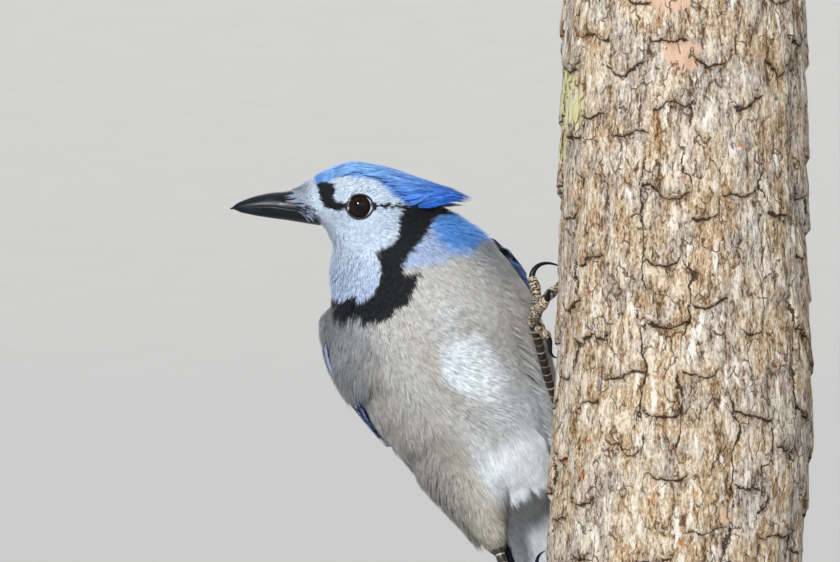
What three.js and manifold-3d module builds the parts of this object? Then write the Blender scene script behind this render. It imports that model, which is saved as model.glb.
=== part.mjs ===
// A life-size blue jay clinging to a cut length of trunk, which stands on two short rods and a round base.
// Millimetres, +Z up. The origin is the centre of the base's underside, and the viewer looks along +Y.
import * as THREE from "three";
import { mergeVertices } from "three/addons/utils/BufferGeometryUtils.js";
import Module from "manifold-3d";

const wasm = await Module();
wasm.setup();

const DEG = Math.PI / 180;
const GAP = 0.3; // left between neighbouring pieces
const V = (x, y, z) => new THREE.Vector3(x, y, z);
const lerp = THREE.MathUtils.lerp;
const SIDES = [-1, 1]; // the bird's right and left

// Stand and trunk
const BASE_RADIUS = 80;
const BASE_HEIGHT = 14;
const BASE_EDGE = 3; // rounding of the base's upper edge
const ROD_RADIUS = 5;
const ROD_SPACING = 36;
const TRUNK_X = 25;
const TRUNK_Y = -12;
const TRUNK_FOOT = 51.5; // height of the trunk's lower cut
const TRUNK_TOP = 308.6;
const PLATE_COLUMNS = 18; // plates of bark round the trunk
const PLATE_ROWS = 9;
const PLATE_HIGH = 27;
const PLATE_EDGES = [0.9, -0.8]; // how the bark stands at a plate's lower and upper edge
const PLATE_GAP = 2; // from a plate's lower edge to the top of the next one
const PLATE_LEVELS = 1; // how much the plates differ
const SEAM_DEPTH = 0.5; // of the furrows between the columns
const GRIP_REACH = 9; // the bark lies flat as near as this to a claw's tip

// Pose of the bird: where its vent is, and how its body leans and turns
const VENT = V(-30.4, 24, 121.1);
const LEAN = 28.4 * DEG; // the head end leans away from the trunk
const TURN = 10 * DEG; // the belly turns towards the trunk
const EYES_MID = V(-90.1, 20, 227.8); // midway between the eyes

// Head
const EYE_RADIUS = 5.4;
const EYE_OUT = 8.7; // from the head's middle to the centre of an eye
const LID_LONG = 4.85; // half the length and half the height of the ring of the lids
const LID_HIGH = 4.3;
const LID_THICK = 0.7;
const LID_OUT = 3.9; // from the centre of the eye to the ring
const HEAD_TILT = 0; // degrees that the bill points above the horizon
const NECK_START = 92; // distances ahead of the vent
const NECK_END = 107;
const FEATHER_EDGE = [V(26, 0, 6), V(15, 0, -6)]; // top and bottom of the feathers' edge round the bill

// Wings and tail
const WING_THICK = [3.4, 0.7]; // at a feather's root and tip
const WING_TILT = 0.6; // how far a feather's lower edge stands over the next one
const TAIL_LENGTH = 120;
const TAIL_PAIRS = 6;
const TAIL_THICK = [0.8, 0.6];
const TAIL_STEP = 0.4;

// Smooth interpolation through rows of [position, value, value, ...]
function smooth(rows) {
  const slope = (i, k) => {
    const a = rows[Math.max(i - 1, 0)];
    const b = rows[Math.min(i + 1, rows.length - 1)];
    return (b[k] - a[k]) / (b[0] - a[0]);
  };
  return (at) => {
    const x = THREE.MathUtils.clamp(at, rows[0][0], rows.at(-1)[0]);
    let i = 0;
    while (i < rows.length - 2 && rows[i + 1][0] < x) i += 1;
    const step = rows[i + 1][0] - rows[i][0];
    const f = (x - rows[i][0]) / step;
    return rows[i].slice(1).map((value, k) => {
      const rise = rows[i + 1][k + 1] - value;
      const enter = slope(i, k + 1) * step - rise;
      const leave = rise - slope(i + 1, k + 1) * step;
      return value + f * rise + f * (1 - f) * (enter * (1 - f) + leave * f);
    });
  };
}

// Evenly spaced numbers from a to b, both included
const steps = (a, b, count) => Array.from({ length: count + 1 }, (_, i) => lerp(a, b, i / count));

// Closed surface over rings of points. The second half of each ring splits its squares the other way,
// so that the two faces of a thin plate have matching triangles.
function skin(rings) {
  const n = rings[0].length;
  const points = rings.flat();
  const index = [];
  for (let i = 0; i < rings.length - 1; i += 1) {
    for (let j = 0; j < n; j += 1) {
      const a = i * n + j;
      const b = i * n + ((j + 1) % n);
      index.push(...(j < n / 2 ? [a, b, b + n, a, b + n, a + n] : [a, b, a + n, b, b + n, a + n]));
    }
  }
  for (const i of [0, rings.length - 1]) {
    const hub = new THREE.Vector3();
    rings[i].forEach((p) => hub.addScaledVector(p, 1 / n));
    points.push(hub);
    for (let j = 0; j < n; j += 1) {
      const [a, b] = [i * n + j, i * n + ((j + 1) % n)];
      index.push(...(i ? [a, b, points.length - 1] : [b, a, points.length - 1]));
    }
  }
  const made = new THREE.BufferGeometry().setFromPoints(points);
  return made.setIndex(index);
}

// A geometry as a solid, turned to face out
function solid(geometry) {
  const bare = geometry.clone();
  bare.deleteAttribute("normal");
  bare.deleteAttribute("uv");
  const merged = mergeVertices(bare, 1e-4);
  const triVerts = new Uint32Array(merged.index.array);
  const vertProperties = merged.attributes.position.array;
  const make = () => new wasm.Manifold(new wasm.Mesh({ numProp: 3, vertProperties, triVerts }));
  const made = make();
  if (made.volume() > 0) return made;
  for (let i = 0; i < triVerts.length; i += 3) {
    [triVerts[i], triVerts[i + 1]] = [triVerts[i + 1], triVerts[i]];
  }
  return make();
}

const largest = (made) => made.decompose().sort((a, b) => b.volume() - a.volume())[0];
const join = (solids) => solids.reduce((a, b) => a.add(b));

// The part of a solid on the side of a plane that its direction points to
const beyond = (made, direction, point) => made.trimByPlane(direction.toArray(), direction.dot(point));

function geometryOf(made) {
  const { vertProperties, triVerts } = largest(made).getMesh();
  const geometry = new THREE.BufferGeometry();
  geometry.setAttribute("position", new THREE.BufferAttribute(vertProperties, 3));
  geometry.setIndex(new THREE.BufferAttribute(triVerts, 1));
  geometry.computeVertexNormals();
  return geometry;
}

// A round limb along a curve. stations are shares of its length, and radius gives its size at each.
function limb(curve, radius, sides, stations) {
  const [start, middle, end] = [0, 0.5, 1].map((f) => curve.getPointAt(f));
  const across = new THREE.Vector3().crossVectors(middle.sub(start), end.sub(start));
  if (across.length() < 1e-3) across.crossVectors(curve.getTangentAt(0), V(0.3, 0.5, 0.8));
  across.normalize();
  return skin(
    stations.map((f) => {
      const other = new THREE.Vector3().crossVectors(curve.getTangentAt(f), across).normalize();
      const side = new THREE.Vector3().crossVectors(other, curve.getTangentAt(f));
      return Array.from({ length: sides }, (_, j) => {
        const turn = (j / sides) * 2 * Math.PI;
        const point = curve.getPointAt(f).addScaledVector(side, radius(f) * Math.cos(turn));
        return point.addScaledVector(other, radius(f) * Math.sin(turn));
      });
    }),
  );
}

// Shares of a feather's length, and its width there as a share of the full width
const VANE = [
  [0, 0.5],
  [0.3, 0.9],
  [0.7, 1],
  [0.92, 0.62],
  [1, 0.14],
];
const ROOT_SINK = 1; // how far a feather's root end dips under its sheet

// One feather lying on a sheet from its root to its tip, both given as places on the sheet. lifts are how
// high its two edges stand over the sheet, and depths how thick it is at its root and its tip.
function vane(sheet, { root, tip, width, lifts, depths, bow = 0 }) {
  return solid(
    skin(
      VANE.map(([f, share]) => {
        const along = lerp(root[0], tip[0], f);
        const middle = lerp(root[1], tip[1], f) + bow * f * (1 - f);
        const scale = sheet(along, middle + 0.5).p.distanceTo(sheet(along, middle - 0.5).p);
        const half = (width * share) / 2 / scale;
        const corner = (at, lift) => {
          const { p, n } = sheet(along, at);
          return p.addScaledVector(n, lift);
        };
        const depth = lerp(...depths, f);
        const [low, high] = lifts.map((lift) => lift - (f ? 0 : ROOT_SINK));
        const tops = [corner(middle - half, low), corner(middle + half, high)];
        return [...tops, corner(middle + half, high - depth), corner(middle - half, low - depth)];
      }),
    ),
  );
}

// A row of like feathers. at(f) gives each one's measures, with f from 0 at the first to 1 at the last.
const row = (sheet, count, at) => steps(0, 1, count - 1).map((f) => vane(sheet, at(f)));

// Body: rows of distance ahead of the vent, and reach to the bird's right, left, back and front
const BODY = smooth([
  [-10, -5, 5, -18, -9],
  [0, -12, 11.5, -21.5, 1],
  [10, -20.5, 17.5, -24, 15],
  [25, -27.5, 23.5, -26.5, 22],
  [45, -32, 28.5, -28.5, 27],
  [64, -35.5, 34.5, -29, 30],
  [76, -36.2, 36.2, -28, 30],
  [88, -33.5, 33.8, -25, 27],
  [98, -27.5, 29.3, -21.5, 23],
  [108, -21.8, 22.5, -17.5, 18.5],
  [118, -17.5, 14, -11.5, 17.4],
  [127, -13, 8, -8, 16],
]);
const BODY_ENDS = [-10, 127];
const BODY_SIDES = 26;
const BODY_STEPS = 19;

// Head: rows of distance ahead of the eyes, and height of the top, height of the bottom, and half width
const HEAD = smooth([
  [-30, 4, -3, 3],
  [-26, 6, -7, 8.2],
  [-20, 8.9, -11.5, 11.6],
  [-12, 12.3, -13.8, 13.7],
  [-4, 14.5, -14, 14],
  [4, 15.5, -13, 13.2],
  [10, 14.4, -11.4, 11.7],
  [16, 11.2, -9.4, 9.6],
  [22, 7.6, -7.4, 7.2],
  [30, 4.6, -5, 4.6],
]);
const HEAD_ENDS = [-30, 30];
const HEAD_SIDES = 24;
const HEAD_STEPS = 16;

// A ring of an egg-shaped section in the body's frame: x to its left, y ahead, z to its front
function bodyRing(along, grow) {
  const [right, left, back, front] = BODY(along);
  return Array.from({ length: BODY_SIDES }, (_, j) => {
    const turn = (j / BODY_SIDES) * 2 * Math.PI;
    const x = (right + left) / 2 + ((left - right) / 2 + grow) * Math.cos(turn);
    const z = (back + front) / 2 + ((front - back) / 2 + grow) * Math.sin(turn);
    return V(x, along, z);
  });
}

function bodySolid(grow) {
  const rings = steps(...BODY_ENDS, BODY_STEPS).map((along) => bodyRing(along, grow));
  rings[0].forEach((p) => (p.y -= grow));
  return solid(skin(rings));
}

// The head's own frame has x ahead, y to its left and z up. The body's frame is turned from it.
function bodyMatrix() {
  const ahead = V(-Math.sin(LEAN), 0, Math.cos(LEAN));
  const left = V(Math.cos(LEAN), 0, Math.sin(LEAN)).multiplyScalar(Math.cos(TURN));
  left.y = Math.sin(TURN);
  const front = new THREE.Vector3().crossVectors(left, ahead);
  return new THREE.Matrix4().makeBasis(left, ahead, front).setPosition(VENT);
}

function headMatrix() {
  const tilt = HEAD_TILT * DEG;
  const ahead = V(-Math.cos(tilt), 0, Math.sin(tilt));
  const left = V(0, -1, 0);
  const up = new THREE.Vector3().crossVectors(ahead, left);
  return new THREE.Matrix4().makeBasis(ahead, left, up).setPosition(EYES_MID);
}

const BIRD = bodyMatrix();
const TO_BIRD = BIRD.clone().invert();
const HEAD_TO_BIRD = TO_BIRD.clone().multiply(headMatrix());
const inBird = (made) => made.transform(HEAD_TO_BIRD.elements); // from the head's frame to the body's

// Head pieces, in the head's frame
function headRing(along) {
  const [top, bottom, half] = HEAD(along);
  return Array.from({ length: HEAD_SIDES }, (_, j) => {
    const turn = (j / HEAD_SIDES) * 2 * Math.PI;
    return V(along, half * Math.cos(turn), (top + bottom) / 2 + ((top - bottom) / 2) * Math.sin(turn));
  });
}

const eyeAt = (side, out = EYE_OUT) => V(0, side * out, 0);
const ball = (radius, at, across = 14, up = 10) =>
  solid(new THREE.SphereGeometry(radius, across, up).translate(...at.toArray()));

// The shallow bowl round an eye, and the ring of its lids
function orbit(side) {
  const bowl = new THREE.SphereGeometry(1, 14, 6).scale(LID_LONG + 1, 2.1, LID_HIGH + 1);
  return solid(bowl.translate(...eyeAt(side, EYE_OUT + EYE_RADIUS).toArray()));
}

function lids(side) {
  const ring = new THREE.TorusGeometry(LID_LONG, LID_THICK, 5, 16).scale(1, LID_HIGH / LID_LONG, 1);
  return solid(ring.rotateX(Math.PI / 2).translate(...eyeAt(side, EYE_OUT + LID_OUT).toArray()));
}

// A place on the side of the head, at some height
function cheek(along, height, side) {
  const [top, bottom, half] = HEAD(along);
  const share = (height - (top + bottom) / 2) / ((top - bottom) / 2);
  return V(along, side * half * Math.sqrt(1 - share * share), height);
}

// The line of the mouth behind the bill, pressed into the feathers
function gape(side) {
  const curve = new THREE.CatmullRomCurve3([
    cheek(21, -1.7, side),
    cheek(17, -2.7, side),
    cheek(13, -4.4, side),
  ]);
  return solid(limb(curve, (f) => 0.5 - 0.3 * f, 6, steps(0, 1, 4)));
}

// The slanting edge where the feathers end at the bill, as a point on it and the direction ahead of it
function featherEdge() {
  const [top, bottom] = FEATHER_EDGE;
  const slant = top.clone().sub(bottom);
  return { point: bottom, ahead: V(slant.z, 0, -slant.x).normalize() };
}

// Bill: rows of distance ahead of the eyes, and height of the upper edge, the mouth line and the lower edge,
// and half width
const BILL = smooth([
  [12, 9, -3.6, -7.2, 6.2],
  [20, 6.6, -2, -6, 5.6],
  [26, 5.2, -0.9, -5, 5],
  [32, 4.7, -0.1, -4.2, 4],
  [38, 3.4, -0.1, -3.2, 2.9],
  [43, 1.6, -0.6, -2.1, 1.7],
  [46, 0.1, -1, -1.4, 0.7],
]);

const BILL_STATIONS = [...steps(12, 40, 7), 42.5, 44.5];
const BILL_TIPS = [45.4, 46.8]; // the lower half is the shorter

function billHalf(upper) {
  const rings = [...BILL_STATIONS, BILL_TIPS[upper ? 1 : 0]].map((along) => {
    const [top, mouth, bottom, half] = BILL(along);
    const flat = mouth + (upper ? GAP / 2 : -GAP / 2);
    const reach = upper ? Math.max(top - flat, 0.15) : Math.min(bottom - flat, -0.15);
    return steps(0, Math.PI, 8).map((a) => V(along, half * Math.cos(a), flat + reach * Math.sin(a) ** 0.9));
  });
  return solid(skin(rings));
}

// The nostril's pit, and the locks of bristles that lean over it from the forehead
const NOSTRIL = V(26.5, 4.6, 2.4);
const BRISTLES = 3;

function nostril(side) {
  const pit = new THREE.SphereGeometry(1, 10, 6).scale(1.5, 0.9, 0.7);
  return solid(pit.translate(NOSTRIL.x, side * NOSTRIL.y, NOSTRIL.z));
}

function bristle(side, k) {
  const [from, to] = [15 - k, 28.5 - 1.8 * k];
  return solid(
    skin(
      steps(0, 1, 4).map((f) => {
        const along = lerp(from, to, f);
        const out = lerp(HEAD(along)[2] - 1.6, BILL(along)[3] + 1, Math.min(1, f * 1.6));
        const height = lerp(4.6 - 2.2 * k, 3.4 - 1.5 * k, f);
        const half = 1.5 * (1 - f) ** 0.7 + 0.12;
        const corner = (up, wide) => V(along, side * (out + 0.3 * wide), height + half * up);
        return [corner(1, 1), corner(-1, 1), corner(-1, -1), corner(1, -1)];
      }),
    ),
  );
}

// Crown and crest: rows of distance ahead of the eyes, height of the top, depth to the middle, and half width
const CREST = smooth([
  [-42, 0.5, 5, 3],
  [-36, 4, 7, 5],
  [-28, 7, 9.5, 9],
  [-20, 10, 12, 12.2],
  [-12, 12.9, 13.8, 14],
  [-4, 14.9, 14.7, 14.1],
  [4, 15.5, 14.5, 13.2],
  [10, 14.3, 12.8, 11.7],
]);

// Places on the crown: distance behind the front of the crown, and angle from the top towards the left
function crestSheet(behind, angle) {
  const [top, deep, half] = CREST(-behind);
  const [c, s] = [Math.cos(angle * DEG), Math.sin(angle * DEG)];
  return { p: V(-behind, half * s, top - deep + deep * c), n: V(0, s / half, c / deep).normalize() };
}

// The crest is one feather over the middle with pairs down to the sides, the upper ones longer and on top
const CREST_PAIRS = 4;

function crest() {
  const place = (side, k) => {
    const tuck = 1 - k / CREST_PAIRS;
    const root = [-8 + 2.6 * k, side * 14 * k];
    const tip = [31 + 9.5 * tuck + 1.5 * side * (k % 2), side * (4 + 18.5 * k)];
    const lift = 0.4 + 0.7 * tuck;
    return vane(crestSheet, { root, tip, width: 8.5, lifts: [lift, lift], depths: [2.2, 0.8] });
  };
  const pairs = steps(1, CREST_PAIRS, CREST_PAIRS - 1).flatMap((k) => SIDES.map((side) => place(side, k)));
  return [place(0, 0), ...pairs];
}

// Wing: rows of distance ahead of the vent, and reach to the side, depth of the middle, and rise to the back
const WING = smooth([
  [-48, 9.5, -16.5, 4.5],
  [-20, 14.5, -13, 9],
  [0, 19.5, -9, 15.5],
  [20, 25.6, -5, 22.5],
  [40, 31, -2, 28],
  [60, 35.2, -0.5, 29.6],
  [76, 35.8, 0, 29],
  [92, 31.5, 0.5, 25],
]);

// Places on a folded wing: distance ahead of the vent, and angle from the bird's side towards its back
const wingSheet = (side) => (along, angle) => {
  const [out, middle, rise] = WING(along);
  const [c, s] = [Math.cos(angle * DEG), Math.sin(angle * DEG)];
  return { p: V(side * out * c, along, middle - rise * s), n: V((side * c) / out, 0, -s / rise).normalize() };
};

// The arm and the bases of its feathers, as a pad that the vanes lie on
const ARM = [
  [92, 8, 44, 0.2],
  [87, -4, 60, 0.9],
  [78, -6, 68, 1.1],
  [64, -3, 72, 0.9],
  [48, 2, 74, 0.7],
  [32, 8, 74, 0.5],
  [16, 16, 72, 0.3],
];

function arm(sheet) {
  const shares = steps(0, 1, 6);
  return solid(
    skin(
      ARM.map(([along, from, to, rise]) => {
        const corner = (f, lift) => {
          const { p, n } = sheet(along, lerp(from, to, f));
          return p.addScaledVector(n, lift);
        };
        const top = shares.map((f) => corner(f, rise * Math.sin(Math.PI * (0.1 + 0.8 * f))));
        return [...top, ...shares.map((f) => corner(f, -1.6)).reverse()];
      }),
    ),
  );
}

// Rows of feathers on a folded wing, each from its first feather, near the side, to its last, near the back.
// root and tip are the places of these two on the sheet, lift is how high the first one lies over the sheet,
// and step how much higher each next one is.
const FEATHER_ROWS = {
  primaries: {
    count: 6,
    width: 8.5,
    lift: 0.2,
    step: 0.2,
    root: [[70, 12], [66, 26]],
    tip: [[-26, 34], [-16, 52]],
  },
  secondaries: {
    count: 5,
    width: 12,
    lift: 1.4,
    step: 0.15,
    root: [[62, 24], [54, 48]],
    tip: [[-14, 46], [-4, 66]],
  },
  tertials: {
    count: 3,
    width: 13,
    lift: 1.9,
    step: 0.25,
    root: [[58, 52], [58, 71]],
    tip: [[4, 63], [28, 72]],
  },
  greaterCoverts: {
    count: 6,
    width: 12,
    lift: 2.1,
    step: 0.1,
    root: [[72, 10], [68, 68]],
    tip: [[44, 13], [36, 70]],
  },
  medianCoverts: {
    count: 5,
    width: 13,
    lift: 2.6,
    step: 0.1,
    root: [[84, 8], [84, 60]],
    tip: [[64, 10], [60, 66]],
  },
  primaryCoverts: {
    count: 3,
    width: 7,
    lift: 1.2,
    step: 0.15,
    root: [[82, -3], [80, 6]],
    tip: [[56, 0], [48, 12]],
  },
  alula: {
    count: 2,
    width: 6,
    lift: 1.7,
    step: 0.3,
    root: [[86, -6], [86, -1]],
    tip: [[70, -4], [64, 2]],
  },
};
const PRIMARY_REACH = 26; // how much longer the middle primaries are than the ends of their row
const COVERT_DEEP = 3; // what lies on the body is this thick to its tip, so that it is one with the arm
const WING_BOW = 8; // degrees that a feather bends towards the back in its middle

function wing(side) {
  const sheet = wingSheet(side);
  const between = ([a, b], f) => [lerp(a[0], b[0], f), lerp(a[1], b[1], f)];
  const feathers = Object.entries(FEATHER_ROWS).flatMap(([name, { count, width, lift, step, root, tip }]) => {
    const flight = ["primaries", "secondaries", "tertials"].includes(name);
    const reach = name === "primaries" ? PRIMARY_REACH : 0;
    return row(sheet, count, (f) => {
      const high = lift + step * f * (count - 1);
      const [along, angle] = between(tip, f);
      return {
        root: between(root, f),
        tip: [along - reach * Math.sin(Math.PI * f ** 0.8), angle],
        width,
        lifts: [high + WING_TILT, high],
        depths: [WING_THICK[0], flight ? WING_THICK[1] : COVERT_DEEP],
        bow: WING_BOW,
      };
    });
  });
  return join([arm(sheet), ...feathers]);
}

// Places on the tail: distance ahead of the vent, and distance to the left
const tailSheet = (along, across) => ({
  p: V(across, along, -14.5 + 0.01 * along + 0.006 * across * across),
  n: V(0, 0, -1),
});

function tail() {
  const feathers = [];
  for (let k = TAIL_PAIRS - 1; k >= 0; k -= 1) {
    for (const side of SIDES) {
      const short = 18 * (k / (TAIL_PAIRS - 1)) ** 2;
      const root = [10, side * (1 + 0.9 * k)];
      const tip = [5 - TAIL_LENGTH + short, side * (1.6 + 2.3 * k)];
      const lift = TAIL_STEP * (TAIL_PAIRS - k) + (side > 0 ? TAIL_STEP / 2 : 0);
      feathers.push(vane(tailSheet, { root, tip, width: 11.5, lifts: [lift, lift], depths: TAIL_THICK }));
    }
  }
  const coverts = [-2, 2, -1, 1, 0].map((k) => {
    const root = [14, 2.4 * k];
    const tip = [-34 + 5 * Math.abs(k), 2.6 * k];
    const lift = -0.2 - 0.3 * Math.abs(k);
    return vane(tailSheet, { root, tip, width: 9, lifts: [lift, lift], depths: [2, 0.9] });
  });
  return join([...feathers, ...coverts]);
}

// Places on the trunk are an angle from the viewer's left towards the back, a height and a stand-off
const TRUNK = smooth([
  [51.5, -5, 46.5],
  [100.7, -3.2, 45.6],
  [151.4, 0.2, 46.2],
  [194.3, 0.2, 44.7],
  [247.9, 0.4, 44.2],
  [308.6, 0.8, 43.6],
]);

function onTrunk([angle, height, off]) {
  const [shift, radius] = TRUNK(height);
  const [c, s] = [Math.cos(angle * DEG), Math.sin(angle * DEG)];
  return V(TRUNK_X + shift - (radius + off) * c, TRUNK_Y + (radius + off) * s, height);
}

// Each toe has its middle joint, its end, the height that its claw arches to, and the claw's tip in the bark
const LEGS = {
  L: {
    hip: V(17, 40, 4),
    thigh: [10.5, 7, 2.9], // radius at the hip, halfway and at the heel
    heel: V(-20.4, 19, 157.9),
    ankle: [12.7, 186.4, 9.7],
    toes: {
      middle: {
        knuckle: [12, 195, 8.4],
        end: [12.5, 202.5, 10.6],
        over: [15, 210.5, 8],
        tip: [19.4, 205.5, 0.4],
      },
      inner: {
        knuckle: [5, 190.5, 7.2],
        end: [1, 194.5, 3.9],
        over: [-3.5, 198.5, 5],
        tip: [-5.5, 197, 0.4],
      },
      outer: {
        knuckle: [19, 193, 8.5],
        end: [27, 199, 5.4],
        over: [33, 204, 6],
        tip: [36, 203, 0.4],
      },
      hind: {
        knuckle: [13.5, 183.6, 7],
        end: [13.8, 180.5, 4.2],
        over: [14.5, 174, 5.5],
        tip: [15, 173.5, 0.4],
      },
    },
  },
  R: {
    hip: V(-14, 20, 6),
    thigh: [11.5, 8.5, 2.7],
    heel: V(-41, 2, 106),
    ankle: [10.3, 75, 5],
    toes: {
      middle: {
        knuckle: [1, 79, 3.4],
        end: [-14, 84, 2.8],
        over: [-21, 88, 5],
        tip: [-26, 86, 0.4],
      },
      inner: {
        knuckle: [3, 71.5, 3.4],
        end: [-8, 68, 2.6],
        over: [-15, 66.5, 5],
        tip: [-19, 66, 0.4],
      },
      outer: {
        knuckle: [9, 85, 3.4],
        end: [5, 96, 2.8],
        over: [2, 103, 5],
        tip: [0, 105, 0.4],
      },
      hind: {
        knuckle: [17, 71, 3.4],
        end: [27, 67, 2.6],
        over: [34, 65, 5.5],
        tip: [40, 64, 0.4],
      },
    },
  },
};
const ANKLE_RADIUS = 2.4;
const ANKLE_CUT = 2.2; // above the middle of the ankle, where the tarsus ends
const CLAW_RADIUS = 1.15;
const TARSUS_RADIUS = 1.65;
const TOE_RADIUS = 2;
const SCUTES = 9;

const toBird = (point) => point.clone().applyMatrix4(TO_BIRD);

function thigh(leg, grow = 0) {
  const heel = toBird(leg.heel);
  const bend = leg.hip.clone().lerp(heel, 0.55);
  const curve = new THREE.QuadraticBezierCurve3(leg.hip, bend, heel);
  const size = smooth([[0, leg.thigh[0]], [0.5, leg.thigh[1]], [1, leg.thigh[2]]]);
  const joint = ball(leg.thigh[2] + grow, heel, 10, 6);
  return solid(limb(curve, (f) => size(f)[0] + grow, 14, steps(0, 1, 6))).add(joint);
}

function tarsus(leg) {
  const [heel, ankle] = [toBird(leg.heel), toBird(onTrunk(leg.ankle))];
  const away = ankle.clone().sub(heel).normalize();
  const end = ankle.clone().addScaledVector(away, -ANKLE_CUT);
  const scute = (f) => 0.16 * (1 - ((f * SCUTES) % 1));
  const radius = (f) => TARSUS_RADIUS * (0.94 + scute(f) + 0.2 * Math.abs(2 * f - 1) ** 6);
  const plates = steps(0, SCUTES - 1, SCUTES - 1).flatMap((k) => [(k + 0.01) / SCUTES, (k + 0.92) / SCUTES]);
  return solid(limb(new THREE.LineCurve3(heel, end), radius, 8, plates)).subtract(thigh(leg, GAP));
}

function foot(leg) {
  const [heel, ankle] = [toBird(leg.heel), toBird(onTrunk(leg.ankle))];
  const away = ankle.clone().sub(heel).normalize();
  const pads = (f) => TOE_RADIUS * (1 - 0.2 * f + 0.14 * Math.cos(f * 5 * Math.PI));
  const toes = Object.values(leg.toes).map(({ knuckle, end }) => {
    const curve = new THREE.CatmullRomCurve3([ankle, toBird(onTrunk(knuckle)), toBird(onTrunk(end))]);
    return solid(limb(curve, pads, 6, steps(0, 1, 8)));
  });
  const joint = ball(ANKLE_RADIUS, ankle, 10, 6);
  return beyond(join([joint, ...toes]), away, ankle.clone().addScaledVector(away, GAP - ANKLE_CUT));
}

function claw(toe, grow = 0) {
  const places = [toe.knuckle, toe.end, toe.over, toe.tip];
  const [knuckle, end, over, tip] = places.map((at) => toBird(onTrunk(at)));
  const away = end.clone().sub(knuckle).normalize();
  const curve = new THREE.CubicBezierCurve3(
    end.clone().addScaledVector(away, GAP - grow),
    end.clone().addScaledVector(away, 2.5),
    over,
    tip,
  );
  return solid(limb(curve, (f) => CLAW_RADIUS * (1 - f) ** 0.8 + 0.12 + grow, 6, steps(0, 1, 5)));
}

// Trunk and stand. A plate's numbers come from its column and its row, spread as if by chance from 0 to 1.
function chance(column, row) {
  return Math.abs(Math.sin(column * 12.9898 + row * 78.233) * 43758.5453) % 1;
}

function plateEdge(column, row) {
  const stagger = 0.3 + 0.5 * (column % 2) + 0.3 * (chance(column, row) - 0.5);
  return TRUNK_FOOT + PLATE_HIGH * (row + stagger);
}

// Heights on one side of the plates' edges and how the bark stands there, at the plates' middles and their seams
function barkRing(row, above) {
  const stand = PLATE_EDGES[above ? 0 : 1];
  const plates = Array.from({ length: PLATE_COLUMNS }, (_, column) => [
    plateEdge(column, row) + (above ? 1 : -1) * (PLATE_GAP / 2),
    stand + PLATE_LEVELS * (chance(column, row + (above ? 1 : 0) + 40) - 0.5),
  ]);
  return plates.flatMap(([height, level], column) => {
    const [nextHeight, nextLevel] = plates[(column + 1) % PLATE_COLUMNS];
    return [
      [height, level],
      [(height + nextHeight) / 2, (level + nextLevel) / 2 - SEAM_DEPTH],
    ];
  });
}

function trunk() {
  const cut = (height) => Array.from({ length: 2 * PLATE_COLUMNS }, () => [height, 0]);
  const rows = steps(0, PLATE_ROWS - 1, PLATE_ROWS - 1);
  const bark = rows.flatMap((row) => [barkRing(row, false), barkRing(row, true)]);
  const rings = [cut(TRUNK_FOOT), ...bark, cut(TRUNK_TOP)];
  const grips = Object.values(LEGS).flatMap((leg) => Object.values(leg.toes).map(({ tip }) => onTrunk(tip)));
  const places = rings.map((ring) =>
    ring.map(([height, level], i) => {
      const [shift, radius] = TRUNK(height);
      const turn = (i / ring.length) * 2 * Math.PI;
      const out = V(Math.cos(turn), Math.sin(turn), 0);
      const near = V(TRUNK_X + shift, TRUNK_Y, height).addScaledVector(out, radius);
      const away = Math.min(...grips.map((grip) => grip.distanceTo(near)));
      return near.addScaledVector(out, level * (1 - Math.exp(-((away / GRIP_REACH) ** 2))));
    }),
  );
  return solid(skin(places));
}

function base() {
  const point = (x, y) => new THREE.Vector2(x, y);
  const [flat, wall] = [BASE_RADIUS - BASE_EDGE, BASE_HEIGHT - BASE_EDGE];
  const round = steps(0, Math.PI / 2, 3).map((a) =>
    point(flat + BASE_EDGE * Math.cos(a), wall + BASE_EDGE * Math.sin(a)),
  );
  const foot = [point(0, 0), point(BASE_RADIUS - 1, 0), point(BASE_RADIUS, 1)];
  const profile = [...foot, ...round, point(0, BASE_HEIGHT)];
  return solid(new THREE.LatheGeometry(profile, 32).rotateX(Math.PI / 2));
}

function rod(side) {
  const [low, high] = [BASE_HEIGHT + GAP, TRUNK_FOOT - GAP];
  const bar = new THREE.CylinderGeometry(ROD_RADIUS, ROD_RADIUS, high - low, 16).rotateX(Math.PI / 2);
  const [shift] = TRUNK(TRUNK_FOOT);
  return solid(bar.translate(TRUNK_X + shift + (side * ROD_SPACING) / 2, TRUNK_Y, (low + high) / 2));
}

// Looks
const { MeshStandardMaterial } = THREE;
const looks = (color, roughness, metalness = 0) => new MeshStandardMaterial({ color, roughness, metalness });
const BLUE = looks(0x4f83d6, 0.75);
const GREY = looks(0xc9c6c0, 0.85);
const PALE = looks(0xe6ebf6, 0.85);
const HORN = looks(0x20242c, 0.35);
const EYE = looks(0x1a0d07, 0.05);
const SCALE = looks(0x3a3733, 0.6);
const BARK = looks(0x9a7d5c, 0.95);
const WOOD = looks(0x5b3d25, 0.5);
const METAL = looks(0xb5b7ba, 0.3, 1);

const bird = new THREE.Group();
bird.applyMatrix4(BIRD);
const stand = new THREE.Group();

function add(group, name, made, material) {
  const mesh = new THREE.Mesh(geometryOf(made), material);
  mesh.name = name;
  group.add(mesh);
}

// The body is one form parted by thin cuts into torso, neck and throat, and the throat belongs to the head
const AHEAD = V(0, 1, 0);
const BEHIND = V(0, -1, 0);
const body = bodySolid(0);
const bodyRoom = bodySolid(GAP);
const cutAt = (along) => V(0, along, 0);
const torso = beyond(body, BEHIND, cutAt(NECK_START - GAP / 2));
const neck = beyond(beyond(body, AHEAD, cutAt(NECK_START + GAP / 2)), BEHIND, cutAt(NECK_END - GAP / 2));
const throat = beyond(body, AHEAD, cutAt(NECK_END + GAP / 2));
const neckRoom = beyond(bodyRoom, BEHIND, cutAt(NECK_END + GAP / 2));

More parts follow.
